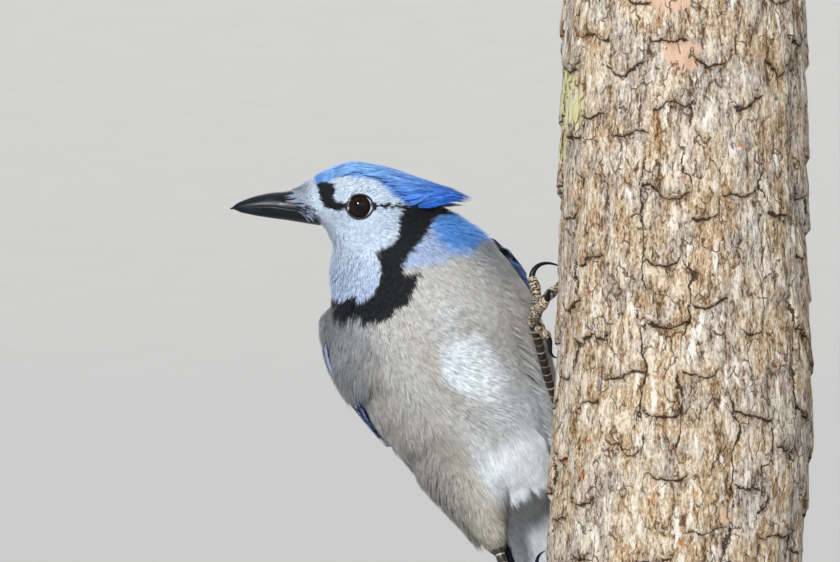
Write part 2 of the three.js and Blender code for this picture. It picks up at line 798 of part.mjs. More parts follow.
// The head ends in front at the feathers' edge, and the bill begins there
const eyes = SIDES.map((side) => ball(EYE_RADIUS, eyeAt(side)));
const sockets = join(SIDES.map((side) => ball(EYE_RADIUS + GAP, eyeAt(side))));
const edge = featherEdge();
const skull = solid(skin(steps(...HEAD_ENDS, HEAD_STEPS).map(headRing)));
const face = beyond(skull, edge.ahead.clone().negate(), edge.point);
const dents = join(SIDES.flatMap((side) => [orbit(side), gape(side)]));
const tufts = SIDES.flatMap((side) => steps(0, BRISTLES - 1, BRISTLES - 1).map((k) => bristle(side, k)));
const dressed = join([face.subtract(dents), ...SIDES.map(lids), ...tufts, ...crest()]);
const head = inBird(dressed).add(throat).subtract(neckRoom).subtract(inBird(sockets));
const billStart = edge.point.clone().addScaledVector(edge.ahead, GAP);
const [billTop, billBottom] = [true, false].map((upper) => beyond(billHalf(upper), edge.ahead, billStart));

add(bird, "head", head, BLUE);
add(bird, "bill_upper", inBird(billTop.subtract(join(SIDES.map(nostril)))), HORN);
add(bird, "bill_lower", inBird(billBottom), HORN);
add(bird, "neck", neck, PALE);
add(bird, "torso", torso, GREY);
add(bird, "tail", tail().subtract(bodyRoom), BLUE);
SIDES.forEach((side, i) => {
  add(bird, `eye_${"RL"[i]}`, inBird(eyes[i]), EYE);
  add(bird, `wing_${"RL"[i]}`, wing(side).subtract(bodyRoom), BLUE);
});

Object.entries(LEGS).forEach(([side, leg]) => {
  add(bird, `thigh_${side}`, thigh(leg).subtract(bodyRoom), GREY);
  add(bird, `tarsus_${side}`, tarsus(leg), SCALE);
  add(bird, `foot_${side}`, foot(leg), SCALE);
  Object.entries(leg.toes).forEach(([name, toe]) => add(bird, `claw_${side}_${name}`, claw(toe), HORN));
});

const clawRoom = Object.values(LEGS).flatMap((leg) => Object.values(leg.toes).map((toe) => claw(toe, GAP)));
add(stand, "stand_base", base(), WOOD);
SIDES.forEach((side, i) => add(stand, `stand_rod_${i + 1}`, rod(side), METAL));
add(stand, "perch_trunk", trunk().subtract(join(clawRoom).transform(BIRD.elements)), BARK);

const blueJay = new THREE.Group();
blueJay.add(stand, bird);

export default blueJay;
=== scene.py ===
"""A life-size blue jay clinging to a cut length of trunk, held on a plain display stand.

Laid out as an add-on and run as a script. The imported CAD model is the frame. One skin takes the place of the
flesh, tufts of barbs make the coat and the crest along the lie of the plumage, and vanes the wings and tail.
Lengths in the tables are millimetres in the bird's own frames, and everything in the scene is in metres."""

import math

import bmesh
import bpy
import numpy as np
from bpy.props import FloatProperty, FloatVectorProperty, IntProperty, PointerProperty
from mathutils import Matrix, Vector
from mathutils.bvhtree import BVHTree
from mathutils.kdtree import KDTree


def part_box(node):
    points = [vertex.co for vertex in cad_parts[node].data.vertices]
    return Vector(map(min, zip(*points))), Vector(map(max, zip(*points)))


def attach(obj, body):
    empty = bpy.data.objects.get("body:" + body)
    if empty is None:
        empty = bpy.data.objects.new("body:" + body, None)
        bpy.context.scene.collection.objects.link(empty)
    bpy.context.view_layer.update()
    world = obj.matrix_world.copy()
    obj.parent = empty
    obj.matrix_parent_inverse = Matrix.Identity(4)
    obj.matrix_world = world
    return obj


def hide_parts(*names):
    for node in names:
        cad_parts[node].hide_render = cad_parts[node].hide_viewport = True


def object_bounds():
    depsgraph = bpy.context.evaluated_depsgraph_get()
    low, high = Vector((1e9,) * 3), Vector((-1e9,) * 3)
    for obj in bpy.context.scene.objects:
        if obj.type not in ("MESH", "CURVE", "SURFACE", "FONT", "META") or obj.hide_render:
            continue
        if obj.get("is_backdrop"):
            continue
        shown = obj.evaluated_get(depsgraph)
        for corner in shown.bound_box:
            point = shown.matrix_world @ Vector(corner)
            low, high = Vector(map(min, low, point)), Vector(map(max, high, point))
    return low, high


bl_info = {
    "name": "Blue Jay Model",
    "version": (1, 0, 0),
    "blender": (4, 5, 0),
    "location": "3D View > Sidebar > Blue Jay",
    "description": "Builds the plumage, eyes, bill, feet, perch and stand of a life-size blue jay",
    "category": "Object",
}

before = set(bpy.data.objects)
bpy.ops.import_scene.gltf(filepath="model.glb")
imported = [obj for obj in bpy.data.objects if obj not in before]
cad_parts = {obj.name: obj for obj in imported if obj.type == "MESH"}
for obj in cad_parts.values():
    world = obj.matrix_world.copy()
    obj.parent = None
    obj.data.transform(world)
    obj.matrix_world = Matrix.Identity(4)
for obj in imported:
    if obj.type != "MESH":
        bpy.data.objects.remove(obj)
CAD_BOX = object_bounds()
ROOT = "root"
MM = 0.001
SIDES = {"L": 1, "R": -1}  # how each side lies to the bird's left


# The bird's frames


def middle(node):
    low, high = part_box(node)
    return np.array((low + high) / 2)


LEAN = math.radians(28.4)  # the head end leans away from the trunk
TURN = math.radians(10)  # the belly turns towards the trunk
VENT = np.array([-0.0304, 0.024, 0.1211])
AHEAD = np.array([-math.sin(LEAN), 0, math.cos(LEAN)])
LEFT = np.array([math.cos(LEAN) * math.cos(TURN), math.sin(TURN), math.sin(LEAN) * math.cos(TURN)])
FRONT = np.cross(LEFT, AHEAD)
BODY_AXES = np.array([LEFT, AHEAD, FRONT])  # to the left, ahead and to the front
HEAD_AXES = np.array([[-1, 0, 0], [0, -1, 0], [0, 0, 1]])  # ahead, to the left and up
EYES = {side: middle(f"eye_{side}") for side in SIDES}
EYES_MID = (EYES["L"] + EYES["R"]) / 2


def to_body(places):
    return (places - VENT) @ BODY_AXES.T / MM


def to_head(places):
    return (places - EYES_MID) @ HEAD_AXES.T / MM


def from_body(places):
    return VENT + np.asarray(places) * MM @ BODY_AXES


def from_head(places):
    return EYES_MID + np.asarray(places) * MM @ HEAD_AXES


def unit(vectors):
    return vectors / np.maximum(np.linalg.norm(vectors, axis=-1, keepdims=True), 1e-12)


def blend(a, b, share):
    return a + (b - a) * share


def columns(*values):
    return np.stack(values, axis=-1)


def ease(low, high, values):
    """0 below low and 1 above high, with a smooth rise between them."""
    share = np.clip((values - low) / (high - low), 0, 1)
    return share * share * (3 - 2 * share)


def smooth(rows):
    """A smooth function through rows of (place, value, value, ...), that gives an array for each value."""
    table = np.array(rows, float)
    places, values = table[:, 0], table[:, 1:]
    after = np.minimum(np.arange(len(places)) + 1, len(places) - 1)
    before = np.maximum(np.arange(len(places)) - 1, 0)
    slopes = (values[after] - values[before]) / (places[after] - places[before])[:, None]

    def at(where):
        where = np.clip(np.asarray(where, float), places[0], places[-1])
        i = np.clip(np.searchsorted(places, where, side="right") - 1, 0, len(places) - 2)
        step = (places[i + 1] - places[i])[..., None]
        share = (where - places[i])[..., None] / step
        rise = values[i + 1] - values[i]
        enter = slopes[i] * step - rise
        leave = rise - slopes[i + 1] * step
        bend = share * (1 - share) * (enter * (1 - share) + leave * share)
        return np.moveaxis(values[i] + share * rise + bend, -1, 0)

    return at


# Distance ahead of the vent, and reach to the right, left, back and front
BODY = smooth(
    [
        (-10, -5, 5, -18, -9),
        (0, -12, 11.5, -21.5, 1),
        (10, -20.5, 17.5, -24, 15),
        (25, -27.5, 23.5, -26.5, 22),
        (45, -32, 28.5, -28.5, 27),
        (64, -35.5, 34.5, -29, 30),
        (76, -36.2, 36.2, -28, 30),
        (88, -33.5, 33.8, -25, 27),
        (98, -27.5, 29.3, -21.5, 23),
        (108, -21.8, 22.5, -17.5, 18.5),
        (118, -17.5, 14, -11.5, 17.4),
        (127, -13, 8, -8, 16),
    ]
)
# Distance ahead of the eyes, height of the top and bottom, and half width
HEAD = smooth(
    [
        (-30, 4, -3, 3),
        (-26, 6, -7, 8.2),
        (-20, 8.9, -11.5, 11.6),
        (-12, 12.3, -13.8, 13.7),
        (-4, 14.5, -14, 14),
        (4, 15.5, -13, 13.2),
        (10, 14.4, -11.4, 11.7),
        (16, 11.2, -9.4, 9.6),
        (22, 7.6, -7.4, 7.2),
        (30, 4.6, -5, 4.6),
    ]
)
FEATHER_EDGE = np.array([[26, 0, 6], [15, 0, -6]])  # top and bottom of the feathers' edge round the bill
THIGHS = {
    "L": {"hip": (17, 40, 4), "heel": (-0.0204, 0.019, 0.1579), "size": (10.5, 7, 2.9)},
    "R": {"hip": (-14, 20, 6), "heel": (-0.041, 0.002, 0.106), "size": (11.5, 8.5, 2.7)},
}

# Plumage by the distance behind the bill: spacing of tufts, length, width of a barb, and depth of the coat
COAT = smooth(
    [
        (0, 0.46, 1.3, 0.13, 0.35),
        (8, 0.52, 2, 0.15, 0.6),
        (20, 0.62, 3, 0.18, 0.85),
        (35, 0.75, 4.2, 0.22, 1.1),
        (50, 0.88, 5.2, 0.25, 1.35),
        (75, 1, 6.5, 0.28, 1.6),
        (110, 1.12, 8, 0.31, 1.8),
        (160, 1.25, 9, 0.34, 2),
    ]
)
# Where the feathers begin at the bill, ahead of the eyes and of the vent, and how far back the coat changes
BILL_TO_EYES = 26
BILL_TO_VENT = 157
BIRD_LONG = 160


def body_middle(t):
    """The body's middle to the left and to the front, and its half width and depth, by the distance ahead."""
    right, left, back, front = BODY(t)
    return (left + right) / 2, (front + back) / 2, (left - right) / 2, (front - back) / 2


def round_body(places):
    """Places in the body's frame, with the degrees from the bird's side towards its front."""
    w, t, d = to_body(places).T
    left, front, _, _ = body_middle(t)
    return w, t, d, np.degrees(np.arctan2(d - front, np.abs(w - left)))


def seen_across(places):
    """How far to the right of the vent each place is seen in the picture, square to the body's length."""
    return (places - VENT) @ np.array([math.cos(LEAN), 0, math.sin(LEAN)]) / MM


def behind_bill(places):
    """How far back along the bird each place lies, by the shorter way over the head or the body."""
    head, body = to_head(places), to_body(places)
    over_head = BILL_TO_EYES - head[:, 0] + np.maximum(0, -head[:, 2] - 10)
    return np.clip(np.minimum(over_head, BILL_TO_VENT - body[:, 1]), 0, BIRD_LONG)


# Sizes and colours that a user would change


def length(name, text, size):
    kind = {"subtype": "DISTANCE", "unit": "LENGTH", "precision": 5}
    return FloatProperty(name=name, description=text, default=size, **kind)


def colour(name, text, value):
    return FloatVectorProperty(name=name, description=text, default=value, subtype="COLOR", min=0, max=1)


class BlueJaySizes(bpy.types.PropertyGroup):
    skin_voxel: length("Skin voxel", "Size of the voxels that the skin is remeshed with", 0.9 * MM)
    lid_size: length("Lid", "Half the thickness of the ring of the lids", 0.42 * MM)
    vane_thick: length("Vane", "Thickness of a wing or tail feather", 0.4 * MM)
    bark_relief: length("Bark relief", "Height of the bark's plates and flakes", 0.9 * MM)
    fullness: FloatProperty(name="Fullness", description="Number of tufts, against the real coat", default=1)
    seed: IntProperty(name="Seed", description="Start of the random draws", default=7)


class BlueJayColours(bpy.types.PropertyGroup):
    crown: colour("Crown", "Front of the crown", (0.25, 0.51, 1.0))
    crest: colour("Crest", "Back of the crest and the bright wing feathers", (0.018, 0.13, 0.59))
    nape: colour("Nape", "Blue of the hind neck", (0.095, 0.31, 0.8))
    mantle: colour("Mantle", "Back and shoulders", (0.17, 0.23, 0.4))
    white: colour("White", "Face, throat and belly", (0.7, 0.77, 0.84))
    lilac: colour("Lilac", "Tinge of the throat and the nape", (0.34, 0.45, 0.7))
    breast: colour("Breast", "Warm grey of the breast", (0.49, 0.49, 0.48))
    flank: colour("Flank", "Cool grey of the flanks and shoulders", (0.22, 0.24, 0.28))
    buff: colour("Buff", "Brownish streaks of the belly", (0.38, 0.35, 0.3))
    black: colour("Black", "Collar, lores and bars", (0.008, 0.009, 0.013))
    horn: colour("Horn", "Bill and claws", (0.008, 0.01, 0.015))
    iris: colour("Iris", "Dark brown of the eye", (0.008, 0.0035, 0.0022))
    scute: colour("Scutes", "Plates of the legs", (0.026, 0.022, 0.02))
    cream: colour("Cream", "Skin between the plates", (0.5, 0.41, 0.29))
    bark: colour("Bark", "Tan of the bark", (0.5, 0.36, 0.22))
    bark_pale: colour("Pale bark", "Weathered faces of the plates", (0.8, 0.71, 0.58))
    bark_dark: colour("Dark bark", "Pits and cracks of the bark", (0.12, 0.066, 0.034))
    wood: colour("Wood", "Stand's base", (0.13, 0.062, 0.028))
    metal: colour("Metal", "Stand's rods", (0.56, 0.55, 0.53))


def sizes():
    return bpy.context.scene.blue_jay_sizes


def tint(key):
    return np.array(getattr(bpy.context.scene.blue_jay_colours, key))


# Meshes


def deselect():
    if bpy.context.object and bpy.context.object.mode != "OBJECT":
        bpy.ops.object.mode_set(mode="OBJECT")
    bpy.ops.object.select_all(action="DESELECT")


def pick(obj):
    deselect()
    obj.select_set(True)
    bpy.context.view_layer.objects.active = obj


def settle(obj, name):
    """Names the piece and puts its object at the origin, unturned, with its place in its mesh."""
    pick(obj)
    bpy.ops.object.transform_apply(location=True, rotation=True, scale=True)
    obj.name = name
    obj.data.name = name
    return obj


def apply_modifier(obj, kind, **settings):
    pick(obj)
    modifier = obj.modifiers.new(kind, kind)
    for key, value in settings.items():
        setattr(modifier, key, value)
    bpy.ops.object.modifier_apply(modifier=modifier.name)


def join(objects, name):
    deselect()
    for obj in objects:
        obj.select_set(True)
    bpy.context.view_layer.objects.active = objects[0]
    bpy.ops.object.join()
    return settle(bpy.context.object, name)


def primitive(add, **settings):
    """A new primitive that add makes, with nothing else selected."""
    deselect()
    add(**settings)
    return bpy.context.object


def ball(at, reach, segments, rings):
    """A stretched ball to cut with, and its reach in millimetres along each axis."""
    add = bpy.ops.mesh.primitive_uv_sphere_add
    obj = primitive(add, segments=segments, ring_count=rings, radius=1, location=at)
    obj.scale = np.array(reach) * MM
    return settle(obj, "ball")


def cut(obj, cutter):
    """Takes a cutter's form away from a piece, and removes the cutter."""
    apply_modifier(obj, "BOOLEAN", operation="DIFFERENCE", object=cutter, solver="EXACT")
    bpy.data.objects.remove(cutter)


def close_up():
    """Turns all faces of the mesh in edit mode outwards, and leaves edit mode."""
    bpy.ops.mesh.select_all(action="SELECT")
    bpy.ops.mesh.normals_make_consistent(inside=False)
    bpy.ops.object.mode_set(mode="OBJECT")


def finish_piece(obj, slot, materials, nodes=(), angle=None):
    """Gives a finished piece the materials with these names, and its place in the frame."""
    pick(obj)
    if angle is None:
        bpy.ops.object.shade_smooth()
    else:
        bpy.ops.object.shade_smooth_by_angle(angle=math.radians(angle))
    obj.data.materials.clear()
    for name in materials:
        obj.data.materials.append(bpy.data.materials.get(f"jay_{name}") or MATERIALS[name]())
    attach(obj, ROOT)
    if nodes:
        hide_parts(*nodes)


def places_of(mesh):
    places = np.empty(len(mesh.vertices) * 3, np.float32)
    mesh.vertices.foreach_get("co", places)
    return places.reshape(-1, 3).astype(float)


def move_to(mesh, places):
    mesh.vertices.foreach_set("co", np.asarray(places, np.float32).ravel())
    mesh.update()


def paint(mesh, name, values, kind="FLOAT_COLOR"):
    """Stores a value for each vertex, for a material to read."""
    attribute = mesh.attributes.get(name) or mesh.attributes.new(name, kind, "POINT")
    values = np.asarray(values, np.float32)
    if kind == "FLOAT_COLOR":
        values = np.concatenate([values, np.ones((len(values), 1), np.float32)], axis=1)
    key = {"FLOAT_COLOR": "color", "FLOAT_VECTOR": "vector", "FLOAT": "value"}[kind]
    attribute.data.foreach_set(key, values.ravel())


def mesh_from(name, places, faces, uv=None):
    """A mesh object from arrays of places and of faces with the same number of corners."""
    corners = faces.shape[1]
    mesh = bpy.data.meshes.new(name)
    mesh.vertices.add(len(places))
    mesh.loops.add(faces.size)
    mesh.polygons.add(len(faces))
    mesh.loops.foreach_set("vertex_index", faces.astype(np.int32).ravel())
    mesh.polygons.foreach_set("loop_start", np.arange(0, faces.size, corners, dtype=np.int32))
    move_to(mesh, places)
    mesh.update(calc_edges=True)
    if uv is not None:
        layer = mesh.uv_layers.new(name="OFBake")
        layer.uv.foreach_set("vector", uv[faces.ravel()].astype(np.float32).ravel())
    obj = bpy.data.objects.new(name, mesh)
    bpy.context.scene.collection.objects.link(obj)
    return obj


def basis(right, up, out, origin):
    matrix = np.eye(4)
    matrix[:3, :3] = np.array([right, up, out]).T
    matrix[:3, 3] = origin
    return Matrix(matrix.tolist())


def loft(rows, sides, place):
    """Extrudes a ring from row to row. A row has its height, its middle across and deep, and its two reaches,
    in millimetres of the frame that place turns it into."""
    height, across, deep, wide, high = rows[0]
    obj = primitive(bpy.ops.mesh.primitive_circle_add, vertices=sides, radius=1, fill_type="NGON")
    bpy.ops.object.mode_set(mode="EDIT")
    bpy.ops.transform.resize(value=(wide, high, 1), center_override=(0, 0, 0))
    bpy.ops.transform.translate(value=(across, deep, height))
    for before, after in zip(rows, rows[1:]):
        up, right, out = (b - a for a, b in zip(before[:3], after[:3]))
        bpy.ops.mesh.extrude_region_move(TRANSFORM_OT_translate={"value": (right, out, up)})
        scale = (after[3] / before[3], after[4] / before[4], 1)
        bpy.ops.transform.resize(value=scale, center_override=(after[1], after[2], after[0]))
    close_up()
    obj.matrix_world = place @ Matrix.Scale(MM, 4)
    return settle(obj, "form")


def tube(name, points, radii, rounds=4):
    """A closed tube through points in metres, with a radius at each."""
    curve = bpy.data.curves.new(name, "CURVE")
    curve.dimensions = "3D"
    curve.bevel_depth = 1
    curve.bevel_resolution = rounds
    curve.use_fill_caps = True
    spline = curve.splines.new("POLY")
    spline.points.add(len(points) - 1)
    spline.points.foreach_set("co", np.insert(np.asarray(points, float), 3, 1, axis=1).ravel())
    spline.points.foreach_set("radius", np.asarray(radii, float))
    obj = bpy.data.objects.new(name, curve)
    bpy.context.scene.collection.objects.link(obj)
    pick(obj)
    bpy.ops.object.convert(target="MESH")
    obj = settle(bpy.context.object, name)
    bpy.ops.object.mode_set(mode="EDIT")
    bpy.ops.mesh.select_all(action="SELECT")
    bpy.ops.mesh.remove_doubles(threshold=1e-6)
    close_up()
    return obj


def along(corners, count):
    """Points spread evenly on a smooth curve through a few corners, and their shares of the way."""
    corners = np.asarray(corners, float)
    knots = np.append(0, np.cumsum(np.linalg.norm(np.diff(corners, axis=0), axis=1)))
    shares = np.linspace(0, 1, count)
    return smooth(np.column_stack([knots / knots[-1], corners]))(shares).T, shares


# Materials


class Value:
    """What one socket of a node puts out, with the usual signs for sums on it."""

    def __init__(self, looks, socket):
        self.looks = looks
        self.socket = socket

    def __add__(self, other):
        return self.looks.math("ADD", self, other)

    def __sub__(self, other):
        return self.looks.math("SUBTRACT", self, other)

    def __mul__(self, other):
        return self.looks.math("MULTIPLY", self, other)

    def __truediv__(self, other):
        return self.looks.math("DIVIDE", self, other)

    def __abs__(self):
        return self.looks.math("ABSOLUTE", self)


class Looks:
    """A material with one Principled shader, or the inside of a node group, and short ways to add nodes."""

    def __init__(self, name, tree=None, **constants):
        if tree is None:
            self.material = bpy.data.materials.new(f"jay_{name}")
            self.material.use_nodes = True
            tree = self.material.node_tree
            self.shader = tree.nodes["Principled BSDF"]
            for key, value in constants.items():
                self.shader.inputs[key.replace("_", " ").title().replace("Ior", "IOR")].default_value = value
        self.tree = tree

    def give(self, socket, value):
        """Links a value to a socket, or sets the socket to a number, a vector or a colour."""
        if isinstance(value, Value):
            self.tree.links.new(value.socket, socket)
        elif socket.type == "RGBA":
            socket.default_value = (*value, 1)
        else:
            socket.default_value = tuple(value) if np.ndim(value) else value

    def values(self, node):
        """What a node puts out, by the names of its sockets."""
        named = ((key, socket) for socket in node.outputs for key in (socket.name, socket.identifier))
        return {key: Value(self, socket) for key, socket in named}

    def add(self, kind, inputs=None, **settings):
        node = self.tree.nodes.new(f"ShaderNode{kind}")
        for key, value in settings.items():
            setattr(node, key, value)
        for key, value in (inputs or {}).items():
            self.give(node.inputs[key], value)
        return self.values(node)

    def math(self, kind, a, b=0.0):
        return self.add("Math", {0: a, 1: b}, operation=kind)["Value"]

    def range(self, value, low, high, to_low=0.0, to_high=1.0):
        """to_low where the value is low, to_high where it is high, with a smooth rise between them."""
        inputs = {"Value": value, "From Min": low, "From Max": high, "To Min": to_low, "To Max": to_high}
        return self.add("MapRange", inputs, interpolation_type="SMOOTHSTEP")["Result"]

    def mix(self, share, a, b):
        return self.add("Mix", {0: share, 6: a, 7: b}, data_type="RGBA", clamp_result=True)["Result_Color"]

    def places(self, scale=(1, 1, 1), location=(0, 0, 0)):
        inputs = {"Vector": self.add("TexCoord")["Object"], "Scale": scale, "Location": location}
        return self.add("Mapping", inputs)["Vector"]

    def noise(self, vector, scale, detail=3.0, rough=0.5):
        inputs = {"Vector": vector, "Scale": scale, "Detail": detail, "Roughness": rough}
        return self.add("TexNoise", inputs)["Fac"]

    def attribute(self, name, output):
        return self.add("Attribute", attribute_name=name)[output]

    def parts(self, vector):
        """The three numbers of a vector."""
        node = self.add("SeparateXYZ", {"Vector": vector})
        return node["X"], node["Y"], node["Z"]

    def group(self, name, **inputs):
        if name not in bpy.data.node_groups:
            GROUPS[name]()
        inputs = {key.capitalize(): value for key, value in inputs.items()}
        return self.add("Group", inputs, node_tree=bpy.data.node_groups[name])

    def mottle(self, colour, scale, amount, vector=None):
        """A colour made uneven, and the mask that does it."""
        inputs = {"colour": colour, "vector": vector or self.places(), "scale": scale, "amount": amount}
        node = self.group("mottle", **inputs)
        return node["Colour"], node["Mask"]

    def finish(self, colour, roughness=None, bump=None):
        """Gives the shader its colour, its roughness, and a bump of a height, a distance and a strength."""
        self.give(self.shader.inputs["Base Color"], colour)
        if roughness:
            self.give(self.shader.inputs["Roughness"], roughness)
        if bump:
            inputs = dict(zip(("Height", "Distance", "Strength"), bump))
            self.give(self.shader.inputs["Normal"], self.add("Bump", inputs)["Normal"])
        return self.material


def new_group(name, inputs, outputs):
    """A new node group: its building helper, the values that it is given, and the sockets that it fills."""
    tree = bpy.data.node_groups.new(name, "ShaderNodeTree")
    for way, sockets in (("INPUT", inputs), ("OUTPUT", outputs)):
        for label, kind in sockets.items():
            tree.interface.new_socket(label, in_out=way, socket_type=f"NodeSocket{kind}")
    looks = Looks(name, tree)
    given = looks.values(tree.nodes.new("NodeGroupInput"))
    return looks, given, tree.nodes.new("NodeGroupOutput").inputs


def mottle_group():
    """Uneven colour: a base colour shifted darker and lighter by two sizes of noise."""
    inputs = {"Colour": "Color", "Vector": "Vector", "Scale": "Float", "Amount": "Float"}
    looks, given, made = new_group("mottle", inputs, {"Colour": "Color", "Mask": "Float"})
    broad = looks.noise(given["Vector"], given["Scale"], 4)
    fine = looks.noise(given["Vector"], given["Scale"] * 5.3, 2)
    mask = looks.range(broad * 0.65 + fine * 0.35, 0.32, 0.68)
    low = looks.math("SUBTRACT", 1.0, given["Amount"])
    factor = looks.add("MapRange", {"Value": mask, "To Min": low, "To Max": given["Amount"] + 1.0})["Result"]
    scaled = looks.add("VectorMath", {0: given["Colour"], "Scale": factor}, operation="SCALE")["Vector"]
    looks.give(made["Colour"], scaled)
    looks.give(made["Mask"], mask)


def barbs_group():
    """The barbs of a vane: fine lines that slant from the shaft to the edges, and the shaft itself."""
    outputs = {"Height": "Float", "Shaft": "Float"}
    looks, given, made = new_group("barbs", {"Place": "Vector", "Pitch": "Float"}, outputs)
    across, back, _ = looks.parts(given["Place"])
    out = abs(across)
    wave = looks.math("SINE", (back - out * 1.3) / given["Pitch"])
    looks.give(made["Height"], wave * 0.5 + looks.noise(given["Place"], 0.6, 3))
    looks.give(made["Shaft"], looks.range(out, 0.42, 0.24))


def spot_group():
    """A mask round one place, with a ragged edge."""
    inputs = {"Centre": "Vector", "Size": "Float", "Ragged": "Float"}
    looks, given, made = new_group("spot", inputs, {"Mask": "Float"})
    place = looks.add("TexCoord")["Object"]
    away = looks.add("VectorMath", {0: place, 1: given["Centre"]}, operation="DISTANCE")["Value"]
    edge = (looks.noise(place, 260.0, 4, 0.65) - 0.5) * given["Ragged"]
    looks.give(made["Mask"], looks.range(away / given["Size"] + edge, 1.05, 0.9))


def crack_group():
    """A thin ragged crack: gap is the distance to it in millimetres, and opened says how far it is open."""
    inputs = {"Gap": "Float", "Opened": "Float", "Width": "Float"}
    looks, given, made = new_group("crack", inputs, {"Mask": "Float"})
    place = looks.add("TexCoord")["Object"]
    jag = (looks.noise(place, 700.0, 4, 0.7) - 0.5) * 2.6
    wide = looks.noise(place, 260.0, 3) * given["Width"]
    shown = wide * looks.range(given["Opened"], 0.05, 0.6, 0.0, 2.0)
    looks.give(made["Mask"], looks.range(shown - abs(given["Gap"] + jag), 0.0, 0.08))


GROUPS = {"mottle": mottle_group, "barbs": barbs_group, "spot": spot_group, "crack": crack_group}


def plumage_material():
    """Body plumage: the painted markings, mottled finely, soft and dull."""
    looks = Looks("plumage", roughness=0.8, sheen_weight=0.25, sheen_roughness=0.4, specular_ior_level=0.25)
    soft, mask = looks.mottle(looks.attribute("plumage", "Color"), 420.0, 0.1)
    return looks.finish(soft, bump=(mask, 0.15 * MM, 0.4))


BAR_PITCH = 4.4  # from one black bar of a feather to the next


def vane_material():
    """Wing and tail feathers. The attribute place has millimetres across from the shaft and back from the
    tip, and marks the strength of the bars, the length of the white tip and how dark the inner web is."""
    looks = Looks("vane", roughness=0.55, sheen_weight=0.2, specular_ior_level=0.35)
    black = tint("black")
    place = looks.attribute("place", "Vector")
    across, back, _ = looks.parts(place)
    bars, white, inner = looks.parts(looks.attribute("marks", "Vector"))
    painted = looks.attribute("plumage", "Color")
    row = back + across * across * 0.05 + (looks.noise(place, 0.9, 3) - 0.5) * 2.2
    past = row - white

    blue = looks.range(looks.add("SeparateColor", {"Color": painted})["Blue"], 0.3, 0.5)
    light = looks.range(looks.noise(place, 0.25, 2), 0.3, 0.7, 0.0, 0.35) * blue
    colour = looks.mix(light, painted, tint("crown"))
    colour = looks.mix(inner * looks.range(across, -0.5, 1.5), colour, 0.6 * black + 0.01)
    band = looks.math("FRACT", row / BAR_PITCH)
    bar = looks.range(band, 0.62, 0.72) * looks.range(band, 1.0, 0.93)
    colour = looks.mix(bar * bars * looks.range(past, 0.5, 1.5), colour, black)
    colour = looks.mix(looks.range(abs(past - 0.9), 1.3, 0.6) * bars, colour, black)
    colour = looks.mix(looks.range(past, 0.5, -0.5), colour, tint("white"))
    fine = looks.group("barbs", place=place, pitch=0.075)
    colour = looks.mix(fine["Shaft"] * 0.8, colour, 1.4 * black)
    colour, _ = looks.mottle(colour, 0.8, 0.12, place)
    return looks.finish(colour, bump=(fine["Height"], 0.12 * MM, 0.6))


def eye_material(side):
    """A wet, nearly black brown iris round a black pupil."""
    gloss = {"roughness": 0.06, "coat_weight": 0.2, "coat_roughness": 0.02, "specular_ior_level": 0.12}
    looks = Looks(f"eye_{side}", **gloss)
    across, _, up = looks.parts(looks.places(location=-EYES[side]))
    radius = looks.math("SQRT", across * across + up * up)
    fibres = looks.noise(looks.places(scale=(1, 0.1, 1)), 2600.0, 3)
    iris = looks.mix(looks.range(fibres, 0.35, 0.7), tint("iris"), 2.2 * tint("iris"))
    centre = looks.mix(looks.range(radius, 1.7 * MM, 2.1 * MM), 0.3 * tint("black"), iris)
    return looks.finish(looks.mix(looks.range(radius, 3.4 * MM, 4.1 * MM), centre, tint("black")))


def lid_material():
    """Bare grey skin of the lids, beaded and creased."""
    looks = Looks("lid_skin", roughness=0.6)
    grain, mask = looks.mottle((0.012, 0.011, 0.012), 1600.0, 0.45)
    return looks.finish(grain, bump=(mask, 0.1 * MM, 0.6))


def horn_material(name, grain, polish):
    """Horn of the bill and claws: blue-black, with fine, paler worn lines along it."""
    looks = Looks(name, coat_weight=0.03, coat_roughness=0.35, specular_ior_level=0.16)
    lines = looks.noise(looks.places(scale=grain), 900.0, 4, 0.6)
    cloud, _ = looks.mottle(tint("horn"), 160.0, 0.35)
    streaked = looks.mix(looks.range(lines, 0.5, 0.75) * 0.15, cloud, (0.09, 0.115, 0.16))
    polished = looks.range(lines, 0.3, 0.7, polish, polish + 0.16)
    return looks.finish(streaked, polished, (lines, 0.05 * MM, 0.5))


def scute_material():
    """Legs: dark, and cream where the attribute groove is high."""
    looks = Looks("leg_scales", coat_weight=0.15, coat_roughness=0.3, specular_ior_level=0.4)
    rough = looks.noise(looks.places(), 1300.0, 4)
    mask = looks.range(looks.attribute("groove", "Fac") + (rough - 0.5) * 0.9, 0.62, 0.8)
    dark, _ = looks.mottle(tint("scute"), 700.0, 0.5)
    pale, _ = looks.mottle(tint("cream"), 900.0, 0.3)
    dull = looks.range(mask, 0, 1, 0.38, 0.7)
    return looks.finish(looks.mix(mask, dark, pale), dull, (rough, 0.08 * MM, 0.6))


# Where the bark's front is bare, across, up and size, and where lichen grows, across, back, up and size
BARE_SPOTS = ((24, 281, 5.5), (20, 304, 7), (64, 140, 3.5), (38, 118, 3), (53, 238, 3.2))
BARE_FRONT = -53
LICHEN_SPOTS = ((-18, -24, 268, 9), (-18, -22, 256, 8), (-14, -34, 262, 6), (-20, -18, 248, 5))


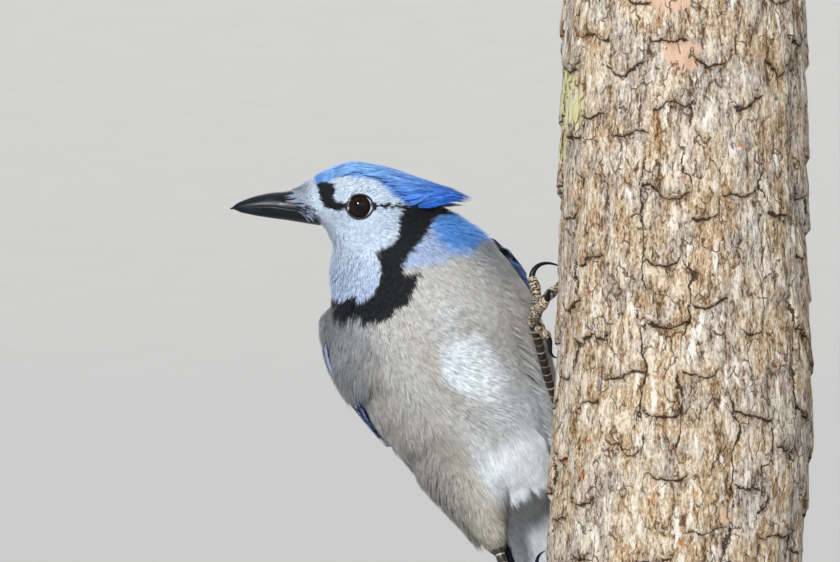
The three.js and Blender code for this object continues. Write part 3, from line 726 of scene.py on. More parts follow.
def bark_material():
    """Bark: grey-tan plates streaked with cream and brown, rusty spots, bare patches, a little lichen, dark
    cracks, and painted shadow in a brown band beside each open edge. The attribute gaps has the distance to
    the nearest edge and seam and each flake's own tone, and opened how far the edge and the seam are open."""
    dark = tint("bark_dark")
    looks = Looks("bark", specular_ior_level=0.2)
    to_edge, to_seam, flake = looks.parts(looks.attribute("gaps", "Vector"))
    edge_open, seam_open, _ = looks.parts(looks.attribute("opened", "Vector"))
    grain = looks.noise(looks.places((1, 1, 0.42)), 1100.0, 6, 0.8)
    streaks = looks.noise(looks.places((1, 1, 0.2), (0.2, 0.3, 0)), 420.0, 4, 0.65)
    clouds = looks.noise(looks.places((1, 1, 0.6)), 60.0, 4, 0.6)
    tone = grain + (flake - 0.5) * 0.12 + (streaks - 0.5) * 0.5

    # Tan and grey, then ochre streaks, brown hollows, pale faces, chips and rust
    colour = looks.mix(looks.range(clouds, 0.42, 0.58), tint("bark"), (0.45, 0.4, 0.35))
    colour = looks.mix(looks.range(streaks, 0.44, 0.36, 0.0, 0.75), colour, (0.5, 0.3, 0.13))
    colour = looks.mix(looks.range(tone, 0.36, 0.47), dark, colour)
    colour = looks.mix(looks.range(tone, 0.5, 0.6), colour, tint("bark_pale"))
    chips = looks.noise(looks.places((1, 1, 0.28), (0, 0.7, 0)), 240.0, 4, 0.75)
    colour = looks.mix(looks.range(chips, 0.56, 0.64, 0.0, 0.85), colour, (0.9, 0.87, 0.8))
    rust = looks.noise(looks.places(location=(0.1, 0.4, 0.9)), 150.0, 4, 0.6)
    colour = looks.mix(looks.range(rust, 0.67, 0.73), colour, (0.55, 0.2, 0.06))
    for across, up, size in BARE_SPOTS:
        centre = (across * MM, BARE_FRONT * MM, up * MM)
        spot = looks.group("spot", centre=centre, size=size * 1.3 * MM, ragged=1.1)["Mask"]
        colour = looks.mix(spot * 0.85, colour, (0.74, 0.5, 0.36))
    for *centre, size in LICHEN_SPOTS:
        spot = looks.group("spot", centre=np.array(centre) * MM, size=size * MM, ragged=2.4)["Mask"]
        colour = looks.mix(spot * looks.range(streaks, 0.4, 0.5), colour, (0.72, 0.7, 0.38))

    # A net of fissures, painted shadow beside the open edges, and dark cracks at the plates' edges and seams
    strayed = looks.add("TexNoise", {"Vector": looks.places(), "Scale": 240.0, "Detail": 3.0})["Color"]
    strayed = looks.add("VectorMath", {0: strayed, 1: (0.5, 0.5, 0.5)}, operation="SUBTRACT")["Vector"]
    strayed = looks.add("VectorMath", {0: strayed, "Scale": 4 * MM}, operation="SCALE")["Vector"]
    bent = looks.add("VectorMath", {0: looks.places((1, 1, 0.42)), 1: strayed})["Vector"]
    net = looks.add("TexVoronoi", {"Vector": bent, "Scale": 210.0}, feature="DISTANCE_TO_EDGE")["Distance"]
    torn = looks.noise(looks.places(location=(0.6, 0.1, 0)), 180.0, 3)
    fissure = looks.range(net, 0.055, 0.015) * looks.range(torn, 0.46, 0.56)
    colour = looks.mix(fissure * 0.8, colour, 0.7 * dark)
    # Painted shadow: a brown band on both sides of each open edge, strongest next to it
    near = looks.range(abs(to_edge), 2.0, 0.3) * edge_open
    colour = looks.mix(near * 0.45, colour, (0.22, 0.12, 0.06))
    edge = looks.group("crack", gap=to_edge, opened=edge_open, width=0.42)["Mask"]
    seam = looks.group("crack", gap=to_seam, opened=seam_open, width=0.4)["Mask"]
    cracks = looks.math("MAXIMUM", edge, seam)
    colour = looks.mix(cracks * 0.92, colour, (0.03, 0.017, 0.01))
    height = grain * 0.75 + streaks * 1.2 - looks.math("MAXIMUM", cracks, fissure * 0.7) * 0.6
    return looks.finish(colour, looks.range(grain, 0.3, 0.7, 0.95, 0.75), (height, 1.4 * MM, 0.85))


YEAR_RING = 2.1 * MM
HEART_SHIFT = 4 * MM  # the trunk's heart lies off its middle


def cut_wood_material():
    """End grain of the cut trunk: rings round its heart, with fine rays."""
    low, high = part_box("perch_trunk")
    looks = Looks("cut_wood", roughness=0.75, specular_ior_level=0.25)
    place = looks.places(location=(-(low.x + high.x) / 2 - HEART_SHIFT, -(low.y + high.y) / 2, 0))
    across, back, _ = looks.parts(place)
    radius = looks.math("SQRT", across * across + back * back)
    rings = looks.math("FRACT", (radius + looks.noise(place, 60.0, 3) * 0.006) / YEAR_RING)
    grain = looks.mix(looks.range(rings, 0.45, 0.98), (0.56, 0.41, 0.25), (0.33, 0.2, 0.1))
    rays, mask = looks.mottle(grain, 500.0, 0.18, place)
    return looks.finish(rays, bump=(mask, 0.2 * MM, 0.4))


def wood_material():
    """Turned and waxed dark wood of the base."""
    wood = tint("wood")
    looks = Looks("stand_wood", coat_weight=0.25, coat_roughness=0.25, specular_ior_level=0.4)
    grain = looks.noise(looks.places((0.08, 1, 1)), 260.0, 6, 0.6)
    bands = looks.noise(looks.places((0.15, 1, 1)), 42.0, 4)
    colour = looks.mix(looks.range(grain, 0.3, 0.7), 0.5 * wood, wood)
    colour = looks.mix(looks.range(bands, 0.35, 0.7, 0.0, 0.6), colour, 1.9 * wood)
    return looks.finish(colour, looks.range(grain, 0.3, 0.7, 0.32, 0.5), (grain, 0.08 * MM, 0.4))


def metal_material():
    """Brushed metal of the rods."""
    looks = Looks("stand_metal", metallic=1.0)
    brush = looks.noise(looks.places((1, 1, 12)), 420.0, 4)
    colour = looks.mix(brush, 0.75 * tint("metal"), tint("metal"))
    return looks.finish(colour, looks.range(brush, 0.3, 0.7, 0.25, 0.42), (brush, 0.03 * MM, 0.4))


MATERIALS = {
    "plumage": plumage_material,
    "vane": vane_material,
    "eye_L": lambda: eye_material("L"),
    "eye_R": lambda: eye_material("R"),
    "lid_skin": lid_material,
    "bill_horn": lambda: horn_material("bill_horn", (0.12, 1, 1), 0.26),
    "claw_horn": lambda: horn_material("claw_horn", (0.5, 0.5, 0.5), 0.22),
    "leg_scales": scute_material,
    "bark": bark_material,
    "cut_wood": cut_wood_material,
    "stand_wood": wood_material,
    "stand_metal": metal_material,
}


# Markings, as outlines in the head's frame: distance ahead of the eyes, and height

# The black collar's inner edge from the nape to the throat, and back outside
COLLAR = [
    (-16.4, -0.6), (-14.9, -5), (-14.6, -9.5), (-12.3, -13.9), (-6.2, -17), (-7.3, -21.7), (-7.3, -28.4),
    (-5.1, -32), (1, -35.4), (11, -33.8), (17, -32.3), (17, -40.5), (11.6, -41.7), (7.1, -43.3),
    (2.1, -44.2), (-5.7, -43.3), (-12.3, -40.5), (-17.9, -35.5), (-21.2, -29.5), (-23.2, -23.4),
    (-16.8, -25.2), (-16.8, -23.2), (-17.3, -19.5), (-19.6, -16.7), (-23.5, -11.7), (-26.8, -6.1),
    (-31.8, -2.3), (-40, -1.4), (-40, 1.4), (-27, 1.2),
]
# The black patch between the bill and the eye
LORE = [
    (15.3, 7.9), (13.5, 9), (8.8, 8.3), (8.1, 5.8), (9.2, 3.3), (7.8, 1.5), (4.5, 1.1), (4.5, -1),
    (7.8, -1.8), (12, -0.6), (14, 3),
]
# The black line behind the eye
EYE_LINE = [
    (-3.6, 2), (-5.4, 1.6), (-8, 0.8), (-12, 0.5), (-17.5, 0.6), (-17.5, -0.8), (-12, -0.9), (-8, -1.2),
    (-4.4, -1.6),
]
# Height of the blue crown's lower edge, by the distance ahead of the eyes
CROWN_EDGE = smooth(
    [
        (-42, -0.6), (-31, -0.8), (-25, 0.2), (-17.5, 0.4), (-14.4, 2.9), (-10.5, 6.1), (-6.2, 9),
        (-1.5, 10.4), (3.1, 11.1), (8.1, 10.4), (12, 7.5), (15.5, 7),
    ]
)
# The pale and blue hind neck behind the collar
NAPE = [
    (-28, 2), (-23, -9), (-19, -14), (-16, -19), (-15, -22.5), (-17, -23.5), (-27.9, -20.5), (-39, -18),
    (-46.8, -11.5), (-60, -8), (-60, 20), (-40, 20),
]
# The face and throat inside the collar
THROAT = [
    (40, 20), (-17, 30), (-45, 20), (-45, 0), (-17.3, -1), (-15.7, -5), (-14.8, -10), (-12.2, -14.1),
    (-6.6, -16.6), (-6.9, -20.1), (-7.9, -23.8), (-6.6, -29.5), (-2.8, -36.4), (5.9, -40.1), (16, -41.5),
    (40, -41.5),
]
STREAKS = np.array([LEFT, AHEAD * 0.3, FRONT]).T @ BODY_AXES  # draws noise out along the body


def depth_in(outline, x, z):
    """How far inside a closed outline each place lies, and negative outside."""
    corners = np.array(outline, float)
    nearest = np.full(len(x), np.inf)
    inside = np.zeros(len(x), bool)
    for (ax, az), (bx, bz) in zip(corners, np.roll(corners, -1, axis=0)):
        dx, dz = bx - ax, bz - az
        share = np.clip(((x - ax) * dx + (z - az) * dz) / (dx * dx + dz * dz), 0, 1)
        nearest = np.minimum(nearest, np.hypot(x - ax - share * dx, z - az - share * dz))
        crosses = (az > z) != (bz > z)
        inside ^= crosses & (x < ax + (z - az) * dx / (dz if dz else 1e-9))
    return np.where(inside, nearest, -nearest)


def wobble(places, size, seed):
    """Smooth random numbers from -1 to 1 over space, about size millimetres apart."""
    rng = np.random.default_rng(seed)
    total = np.zeros(len(places))
    for _ in range(6):
        wave = unit(rng.normal(size=3)) / (size * rng.uniform(0.6, 1.4) * MM)
        total += np.sin(places @ wave * 2 + rng.uniform(0, 6.3))
    return total / 3.5


def painted(count, ground, layers):
    """A ground colour with layers of other colours over it, each as strong as its share."""
    made = np.broadcast_to(ground, (count, 3))
    for over, share in layers:
        made = blend(made, over, np.clip(share, 0, 1)[:, None])
    return made


def plumage(places):
    """The colour of the plumage at each place."""
    count = len(places)
    x, _, z = to_head(places).T
    _, t, _, turn = round_body(places)
    seen = seen_across(places)
    rough = wobble(places, 3.5, 11)
    broad = wobble(places, 12, 12)
    white, flank, buff, lilac, crest = (tint(key) for key in ("white", "flank", "buff", "lilac", "crest"))

    # Body: grey front, cooler at the flanks, white down the belly, and a blue-grey back. Marks on the front
    # are placed by how far across the picture they are seen.
    streaks = ease(-0.3, 0.9, wobble(places @ STREAKS, 5, 13))
    belly = ease(48, 18, t + 5 * broad) * ease(-10, 30, turn) * ease(-15, -3, seen + 3 * broad)
    strip = np.exp(-(((seen - 12 - 0.1 * (60 - t)) / 6) ** 2)) * ease(80, 68, t) * ease(8, 24, t)
    patch = np.hypot((seen - 6 - 0.18 * (50 - t)) / 9.5, (t - 50) / 12.5) + 0.16 * rough
    vent = ease(17, 6, t) * ease(-40, 10, turn) * ease(-13, -5, seen + 2 * broad)
    layers = [
        (flank, ease(18, -16, turn) * 0.7),
        # Grey at the body's left and right edges as seen: the flanks' grey, and painted shade on the sides
        # away from the light
        (flank, ease(-14, -31, seen + 2 * rough) * ease(34, 70, t) * 0.8),
        (flank, ease(20, 34, seen) * ease(62, 84, t) * 0.8),
        (buff, streaks * ease(84, 55, t) * ease(16, 0, seen) * 0.7),
        (white, belly * (0.9 - 0.35 * streaks)),
        (flank, ease(-6, -18, seen + 3 * broad) * ease(44, 26, t) * 0.3),
        (buff, ease(-4, -14, seen + 3 * broad) * ease(50, 20, t) * 0.5),
        (white, strip * ease(-0.7, 0.4, rough) * 0.9),
        (1.1 * white, ease(1.3, 0.7, patch) * ease(0, 30, turn)),
        (1.05 * white, vent),
        (tint("mantle"), ease(-6, -24, turn + 4 * rough) * ease(0, 14, t)),
        (crest, ease(-20, -40, turn) * ease(22, 6, t) * 0.6),
    ]
    layers += [(buff, ease(1.5, -0.5, near_thigh(places, side)) * ease(7, -2, t) * 0.9) for side in SIDES]

    # Hind neck: blue at the back, paler towards the collar
    neck = ease(-2, 1.5, depth_in(NAPE, x, z) + rough) * ease(80, 88, t)
    blue = np.hypot((x + 40) / 1.1, z + 6) + 1.2 * rough
    layers += [(lilac, neck * 0.9), (tint("nape"), neck * ease(15, 7, blue))]

    # Head and throat
    above = z - CROWN_EDGE(x)[0]
    # Blues of the crown: deeper towards the crest, and deeper near the crown's lower edge as painted shade,
    # the top lighter as if lit from above
    blues = [(crest, ease(4, -30, x) * 0.9 + ease(3, 0, above) * 0.25), (crest, ease(11, 14.5, x) * 0.5)]
    crown = painted(count, tint("crown"), blues)
    dusk = ease(6, 0, np.hypot((x - 15) / 1.6, z + 6.5)) * 0.45 * (0.6 + rough)
    greys = [
        # Lilac over the face: the throat's own tinge, made stronger low on the throat as painted shade
        (lilac, 0.2 + 0.4 * ease(-10, -32, z) + 0.15 * broad),
        (flank, dusk),
        (flank, ease(15.5, 20, x) * (0.45 + 0.3 * rough)),
        (crown, ease(-0.3, 0.5, above + 0.4 * rough) * ease(16.2, 15.2, x - 0.25 * (z - 9))),
    ]
    face = painted(count, white * (0.88, 0.94, 1.02), greys)
    layers.append((face, np.maximum(ease(-0.5, 0.5, depth_in(THROAT, x, z)), t > 112)))

    # Black markings, raggedly edged
    for outline, edge in ((COLLAR, 0.5), (LORE, 0.3), (EYE_LINE, 0.15)):
        layers.append((tint("black"), ease(-edge, edge, depth_in(outline, x, z) + edge * rough)))
    return painted(count, tint("breast"), layers)


# Lie of the plumage

FAN = np.array([22, 0, 5])  # the head's feathers fan out from here
BELLY_DRIFT = 0.9  # how far the belly's feathers part towards the left


def lie(places, normals):
    """The way that the plumage lies at each place, along the surface."""
    head = to_head(places)
    w, t, d = to_body(places).T
    fan = unit(head - FAN)
    fan[:, 0] -= 0.15
    for side in SIDES.values():
        off = head - np.array([0, side * 12.6, 0])
        near = np.exp(-np.maximum(np.linalg.norm(off, axis=1) - 5, 0) / 2.2)
        fan += 1.1 * near[:, None] * unit(off)
    drift = BELLY_DRIFT * np.exp(-(((w - 3) / 13) ** 2)) * ease(20, 38, t) * ease(84, 62, t) * ease(0, 12, d)
    spread = 0.25 * np.tanh(w / 12) * ease(60, 96, t) * ease(0, 12, d)
    down = -BODY_AXES[1] + (drift + spread)[:, None] * BODY_AXES[0]
    share = ease(96, 113, t) * ease(-26, -9, head[:, 2])
    way = blend(down, fan @ HEAD_AXES, share[:, None])
    way -= normals * np.sum(way * normals, axis=1, keepdims=True)
    return unit(way)


# The skin and its coat


class Surface:
    """The skin's triangles, for spreading roots over it and for following it."""

    def __init__(self, obj):
        mesh = obj.data
        mesh.calc_loop_triangles()
        self.places = places_of(mesh)
        self.triangles = np.array([t.vertices for t in mesh.loop_triangles])
        normals = np.empty(len(mesh.vertices) * 3, np.float32)
        mesh.vertices.foreach_get("normal", normals)
        self.normals = normals.reshape(-1, 3).astype(float)
        self.tree = BVHTree.FromPolygons(self.places.tolist(), self.triangles.tolist())

    def nearest(self, places):
        """The nearest place on the skin to each place, and the smooth normal there."""
        found = [self.tree.find_nearest(p) for p in places.tolist()]
        on = np.array([f[0] for f in found])
        corners = self.triangles[[f[2] for f in found]]
        gaps = np.linalg.norm(self.places[corners] - on[:, None], axis=2) + 1e-7
        return on, unit((self.normals[corners] / gaps[..., None]).sum(1))

    def scatter(self, spacing_at, crowd, seed):
        """Random places on the skin, none nearer to another than its spacing."""
        rng = np.random.default_rng(seed)
        corners = self.places[self.triangles]
        a, b, c = corners.swapaxes(0, 1)
        areas = np.linalg.norm(np.cross(b - a, c - a), axis=1) / 2
        weights = areas / spacing_at(corners.mean(1)) ** 2
        count = int(crowd * weights.sum())
        chosen = rng.choice(len(areas), count, p=weights / weights.sum())
        a, b = rng.random((2, count, 1))
        flip = a + b > 1
        a, b = np.where(flip, 1 - a, a), np.where(flip, 1 - b, b)
        shares = np.stack([1 - a - b, a, b], axis=1)
        places = (corners[chosen] * shares).sum(1)
        normals = unit((self.normals[self.triangles[chosen]] * shares).sum(1))
        spacing = spacing_at(places)
        tree = KDTree(count)
        for i, place in enumerate(places):
            tree.insert(place, i)
        tree.balance()
        free = np.ones(count, bool)
        kept = []
        for i in range(count):
            if free[i]:
                kept.append(i)
                free[[j for _, j, _ in tree.find_range(places[i], spacing[i])]] = False
        return places[kept], normals[kept]


# A barb: a three-sided root and middle, and a tip
BARB_FACES = np.array(
    [
        (0, 2, 1), (0, 1, 4), (0, 4, 3), (1, 2, 5), (1, 5, 4),
        (2, 0, 3), (2, 3, 5), (3, 4, 6), (4, 5, 6), (5, 3, 6),
    ]
)
# Painted shade along a barb: darker at the root, where the tufts lie under each other, and a little lighter at
# the tip
BARB_PAINTED_SHADE = np.array([0.72, 0.72, 0.72, 0.98, 0.98, 1.02, 1.05])  # darker at the root
BARB_ACROSS = np.array([-1, 1, 0, -1, 1, 0, 0])
BARB_ALONG = np.array([0, 0, 0.05, 0.5, 0.5, 0.55, 1])
BAKE_PATCH = 0.003  # a tuft's size on its map
TUFT_BARBS = 8
COAT_LIMIT = 2400  # tufts in one piece


def grow(name, slot, stations, spreads, width, count, shades, unrolled, seed, droop=0.3):
    """Tufts of tapered, three-sided barbs, as one mesh. stations has each tuft's places, normals and side
    directions at its root, middle and tip; spreads is how wide the tuft is there."""
    rng = np.random.default_rng(seed)
    places, normals, sides = stations
    tufts = len(places)
    lane = np.linspace(-0.5, 0.5, count) + rng.uniform(-0.5, 0.5, (tufts, count)) / count
    reach = (1 - droop * (2 * np.abs(lane)) ** 2) * rng.uniform(0.82, 1.04, (tufts, count))
    half = (width * rng.uniform(0.35, 0.65, (tufts, count)))[..., None]
    lift = rng.uniform(-0.12, 0.2, (tufts, count, 1)) * MM

    def along_tuft(values, f):
        a, b, c = values[:, None, 0], values[:, None, 1], values[:, None, 2]
        return a * (1 - f) * (1 - 2 * f) + b * 4 * f * (1 - f) + c * f * (2 * f - 1)

    def section(share):
        f = (reach * share)[..., None]
        side = unit(along_tuft(sides, f))
        first = int(share > 0.5)
        wide = blend(spreads[:, first], spreads[:, first + 1], 2 * share - first)
        centre = along_tuft(places, f) + side * (lane * wide[:, None])[..., None]
        return centre, side, unit(along_tuft(normals, f))

    verts, soft = [], []
    for share, thick in ((0, 0.6), (0.52, 1)):
        centre, side, normal = section(share)
        centre = centre + normal * lift * share
        for across, up in ((-1, 0), (1, 0), (0, 0.7)):
            verts.append(centre + half * thick * (side * across + normal * up))
            soft.append(unit(normal + 0.45 * side * across))
    centre, side, normal = section(1)
    verts.append(centre + normal * lift * 2)
    soft.append(normal)
    verts = np.stack(verts, axis=2).reshape(-1, 3)
    soft = np.stack(soft, axis=2).reshape(-1, 3)
    faces = BARB_FACES[None] + 7 * np.arange(tufts * count)[:, None, None]
    own = rng.uniform(0.8, 1.14, (tufts, count, 1)) * rng.uniform(0.95, 1.05, (tufts, 1, 1))
    tints = (shades[:, None, None, :] * own[..., None] * BARB_PAINTED_SHADE[:, None]).reshape(-1, 3)
    u = unrolled[:, None, 0, None] + BAKE_PATCH * (lane[..., None] * 0.8 + BARB_ACROSS * 0.1)
    v = unrolled[:, None, 1, None] + BAKE_PATCH * (BARB_ALONG - 0.5)
    uv = columns(u, np.broadcast_to(v, u.shape)).reshape(-1, 2)
    obj = mesh_from(name, verts, faces.reshape(-1, 3), uv)
    paint(obj.data, "plumage", np.clip(tints, 0, 1))
    finish_piece(obj, slot, ["plumage"])
    obj.data.normals_split_custom_set_from_vertices(soft.tolist())


def stations_from(steps):
    """Stations for grow, from places, normals and places a little further on at the root, middle and tip."""
    steps = [(place, normal, unit(np.cross(normal, ahead - place))) for place, normal, ahead in steps]
    return [np.stack(values, axis=1) for values in zip(*steps)]


def on_map(flat):
    """Places spread out flat, moved and stretched over the unit square."""
    return 0.01 + 0.98 * (flat - flat.min(0)) / np.ptp(flat, axis=0)


def unroll(places, round_head):
    """Places on the skin unrolled round the head's or the body's own axis, for a map."""
    if round_head:
        x, y, z = to_head(places).T
        return on_map(columns(np.arctan2(y, z) * 12, x))
    w, t, d = to_body(places).T
    return on_map(columns(np.arctan2(w, -d) * 30, t))


def shades_of(stations):
    """The plumage's colour where each tuft shows from under the others, between its middle and its tip."""
    return plumage(blend(stations[0][:, 1], stations[0][:, 2], 0.5))


def follow(surface, roots, normals, reach, depth):
    """The path of each tuft from its root over the skin: places, normals and sides at three stations."""
    ways = lie(roots, normals)
    places, ups, sides = [roots - normals * 0.15 * MM], [normals], [np.cross(normals, ways)]
    at, normal = roots, normals
    for lift in (0.72, 0.98):
        at, normal = surface.nearest(at + lie(at, normal) * reach[:, None] * 0.5)
        places.append(at + normal * (depth * lift)[:, None])
        ups.append(normal)
        sides.append(np.cross(normal, lie(at, normal)))
    return [np.stack(values, axis=1) for values in (places, ups, sides)]


def coat_parts(places):
    """Names of the coat's pieces, with the slot of each and where it grows."""
    x, _, z = to_head(places).T
    _, t, _, turn = round_body(places)
    inner = depth_in(THROAT, x, z) > 0
    leg = np.any([near_thigh(places, side) < 0 for side in SIDES], axis=0)
    on_head = (t > 103) & ((z > -13) | inner)
    crown = on_head & (z > CROWN_EDGE(x)[0]) & (x < 15)
    before = turn >= -12
    parts = [
        ("coat_crown", "plumage_blue", crown),
        ("coat_face", "plumage_pale", on_head & (z > -16)),
        ("coat_throat", "plumage_pale", (on_head | inner) & (z <= -16) & (t > 84)),
        ("coat_legs", "plumage_grey", leg),
        ("coat_back", "plumage_grey", ~before),
        ("coat_neck", "plumage_grey", before & (t > 84)),
        ("coat_breast", "plumage_grey", before & (t > 58)),
        ("coat_belly", "plumage_grey", before & (t > 33)),
        ("coat_vent", "plumage_grey", before),
    ]
    taken = np.zeros(len(places), bool)
    for name, slot, part in parts:
        yield name, slot, part & ~taken
        taken |= part


def near_thigh(places, side):
    """How far outside a thigh each place lies, counted only away from the trunk of the body."""
    thigh = THIGHS[side]
    hip, heel = from_body(thigh["hip"]), np.array(thigh["heel"])
    line = heel - hip
    share = np.clip((places - hip) @ line / (line @ line), 0, 1)
    off = np.linalg.norm(places - hip - share[:, None] * line, axis=1) / MM
    radius = np.interp(share, (0, 0.5, 1), thigh["size"])
    w, t, d = to_body(places).T
    left, front, wide, deep = body_middle(t)
    out = np.hypot((w - left) / wide, (d - front) / deep)
    return np.where(out > 1.02, off - radius - 1, 1)


def bill_cut():
    """The middle of the feathers' slanting edge round the bill, and the way out, in the head's frame."""
    top, bottom = FEATHER_EDGE
    slant = unit(top - bottom)
    return (top + bottom) / 2, np.array([slant[2], 0, -slant[0]])


class BLUEJAY_OT_skin(bpy.types.Operator):
    """One smooth skin for head, neck, body and thighs, inside their solids by the depth of the coat"""

    bl_idname = "bluejay.skin"
    bl_label = "Skin"

    def execute(self, context):
        body_place = basis(FRONT, LEFT, AHEAD, VENT)
        head_place = basis(HEAD_AXES[1], HEAD_AXES[2], HEAD_AXES[0], EYES_MID)
        steps = np.linspace(-8.5, 127, 40)
        coat = COAT(np.clip(BILL_TO_VENT - steps, 0, BIRD_LONG))[3]
        left, front, wide, deep = body_middle(steps)
        rows = columns(steps, front, left, np.maximum(deep - coat, 1), np.maximum(wide - coat, 1))
        forms = [loft(rows, 64, body_place)]
        steps = np.linspace(-27, 29, 34)
        coat = COAT(np.clip(BILL_TO_EYES - steps, 0, BIRD_LONG))[3]
        top, bottom, wide = HEAD(steps)
        wide, high = np.maximum(wide - coat, 0.8), np.maximum((top - bottom) / 2 - coat, 0.8)
        forms.append(loft(columns(steps, 0 * steps, (top + bottom) / 2, wide, high), 64, head_place))
        for side, thigh in THIGHS.items():
            hip, heel = from_body(thigh["hip"]), np.array(thigh["heel"])
            points, shares = along([hip, (hip * 0.45 + heel * 0.55), heel], 16)
            radii = smooth(list(zip((0, 0.5, 1), thigh["size"])))(shares)[0]
            forms.append(tube(f"thigh_form_{side}", points, (radii - blend(1.5, 0.5, shares)) * MM, 6))
        skin = join(forms, "skin")
        apply_modifier(skin, "REMESH", mode="VOXEL", voxel_size=sizes().skin_voxel)
        self.carve(skin)
        apply_modifier(skin, "REMESH", mode="VOXEL", voxel_size=sizes().skin_voxel)
        apply_modifier(skin, "SMOOTH", factor=0.5, iterations=10)
        places = places_of(skin.data)
        ahead, up = to_body(places)[:, 1], to_head(places)[:, 2]
        self.soften(skin, "neck", ease(84, 100, ahead) * ease(0, -12, up) * (ahead < 150), 150)
        _, ahead, deep = to_body(places_of(skin.data)).T
        self.soften(skin, "thigh", ease(-4, 6, ahead) * ease(46, 34, ahead) * ease(-8, 2, deep), 90)
        # The skin takes the plumage's colours, darkened by a fifth as painted shade under the coat
        paint(skin.data, "plumage", np.clip(plumage(places_of(skin.data)) * 0.8, 0, 1))
        finish_piece(skin, "plumage_grey", ["plumage"], ["head", "neck", "torso", "thigh_L", "thigh_R"])
        return {"FINISHED"}

    def soften(self, skin, name, weights, times):
        """Smooths the skin where two forms run together, as much as the weights say."""
        group = skin.vertex_groups.new(name=name)
        for level in range(1, 11):
            chosen = np.flatnonzero(np.ceil(weights * 10) == level)
            group.add(chosen.tolist(), level / 10, "REPLACE")
        apply_modifier(skin, "SMOOTH", factor=0.5, iterations=times, vertex_group=name)

    def carve(self, skin):
        """Presses the shallow bowls round the eyes, and cuts the skin off at the bill."""
        for sign in SIDES.values():
            cut(skin, ball(from_head((0, sign * 14.1, 0)), (5.9, 2.3, 5.3), 32, 16))
        edge, out = bill_cut()
        block = primitive(bpy.ops.mesh.primitive_cube_add, size=40 * MM)
        away, left = out @ HEAD_AXES, HEAD_AXES[1]
        block.matrix_world = basis(away, left, np.cross(away, left), from_head(edge + out * 19.4))
        cut(skin, settle(block, "bill_block"))


class BLUEJAY_OT_coat(bpy.types.Operator):
    """Tufts of barbs over the whole skin, smallest at the bill and longest on the belly"""

    bl_idname = "bluejay.coat"
    bl_label = "Coat"

    def execute(self, context):
        surface = Surface(bpy.data.objects["skin"])
        fullness = sizes().fullness

        def spacing(places):
            return COAT(behind_bill(places))[0] * MM / math.sqrt(fullness)

        roots, normals = surface.scatter(spacing, 5, sizes().seed)
        kept = ~self.bare(roots)
        roots, normals = roots[kept], normals[kept]
        rng = np.random.default_rng(sizes().seed + 1)
        _, reach, width, depth = COAT(behind_bill(roots)) * MM
        reach = reach * rng.uniform(0.85, 1.15, len(roots))
        fluff, rise = self.fuller(roots)
        reach = reach * (1 + 0.9 * fluff + 0.4 * rise)
        depth = depth * (1 + fluff + 1.4 * rise)
        stations = follow(surface, roots, normals, reach, depth * rng.uniform(0.75, 1.1, len(roots)))
        shades = shades_of(stations)
        across = to_body(roots)[:, 0]
        for name, slot, part in coat_parts(roots):
            order = np.flatnonzero(part)
            order = order[np.argsort(across[order])]
            for k, own in enumerate(np.array_split(order, math.ceil(len(order) / COAT_LIMIT))):
                spreads = (reach * 0.42)[own, None] * np.array([0.45, 0.9, 1])
                paths = [values[own] for values in stations]
                flat = unroll(roots[own], slot != "plumage_grey")
                barb = width[own, None]
                grow(f"{name}_{k + 1}", slot, paths, spreads, barb, TUFT_BARBS, shades[own], flat, 40 + k)
        return {"FINISHED"}

    def fuller(self, roots):
        """Where the coat is longer: over the thighs' tops, and in the hollows behind and under the head."""
        x, _, z = to_head(roots).T
        _, t, d = to_body(roots).T
        fluff = ease(30, 18, t) * ease(2, 7, t) * ease(-4, 6, d) * ease(-12, -4, seen_across(roots))
        rise = ease(-22, -28, x) * ease(-50, -42, x) * ease(-15, -7, z)
        throat = ease(-2, 6, x) * ease(-6, -11, z) * ease(-30, -20, z)
        return fluff, np.maximum(rise, throat)

    def bare(self, roots):
        """Where no tuft grows: at the eyes and the cut round the bill, and under the wings."""
        x, y, z = to_head(roots).T
        w, t, d = to_body(roots).T
        bare = (np.hypot(x / 5.5, z / 4.9) < 1) & (np.abs(y) > 6)
        edge, out = bill_cut()
        ahead = (to_head(roots) - edge) @ out
        bare |= (ahead > -0.9) & (t > 100) & (z > FEATHER_EDGE[1][2] - 2.5)
        reach, deep, rise = WING(t)
        for side in SIDES.values():
            angle = np.degrees(np.arctan2((deep - d) / rise, side * w / reach))
            bare |= (angle > 2) & (angle < 62) & (t > -6) & (t < 80)
        return bare


# Crown and crest: distance ahead of the eyes, height of the top, depth to the middle, and half width
CREST = smooth(
    [
        (-44, -0.5, 4, 1.6),
        (-36, 4, 7, 5),
        (-28, 7, 9.5, 9),
        (-20, 10, 12, 12.2),
        (-12, 12.9, 13.8, 14),
        (-4, 14.9, 14.7, 14.1),
        (4, 15.5, 14.5, 13.2),
        (10, 14.3, 12.8, 11.7),
    ]
)


def on_crest(behind, angle, lift):
    """Places and normals over the crown: distance behind the eyes, degrees from top to left, and lift."""
    top, deep, half = CREST(-behind)
    c, s = np.cos(np.radians(angle)), np.sin(np.radians(angle))
    places = columns(-behind, half * s, top - deep + deep * c)
    normals = unit(columns(0 * s, s / half, c / deep))
    return from_head(places + normals * lift[..., None]), normals @ HEAD_AXES


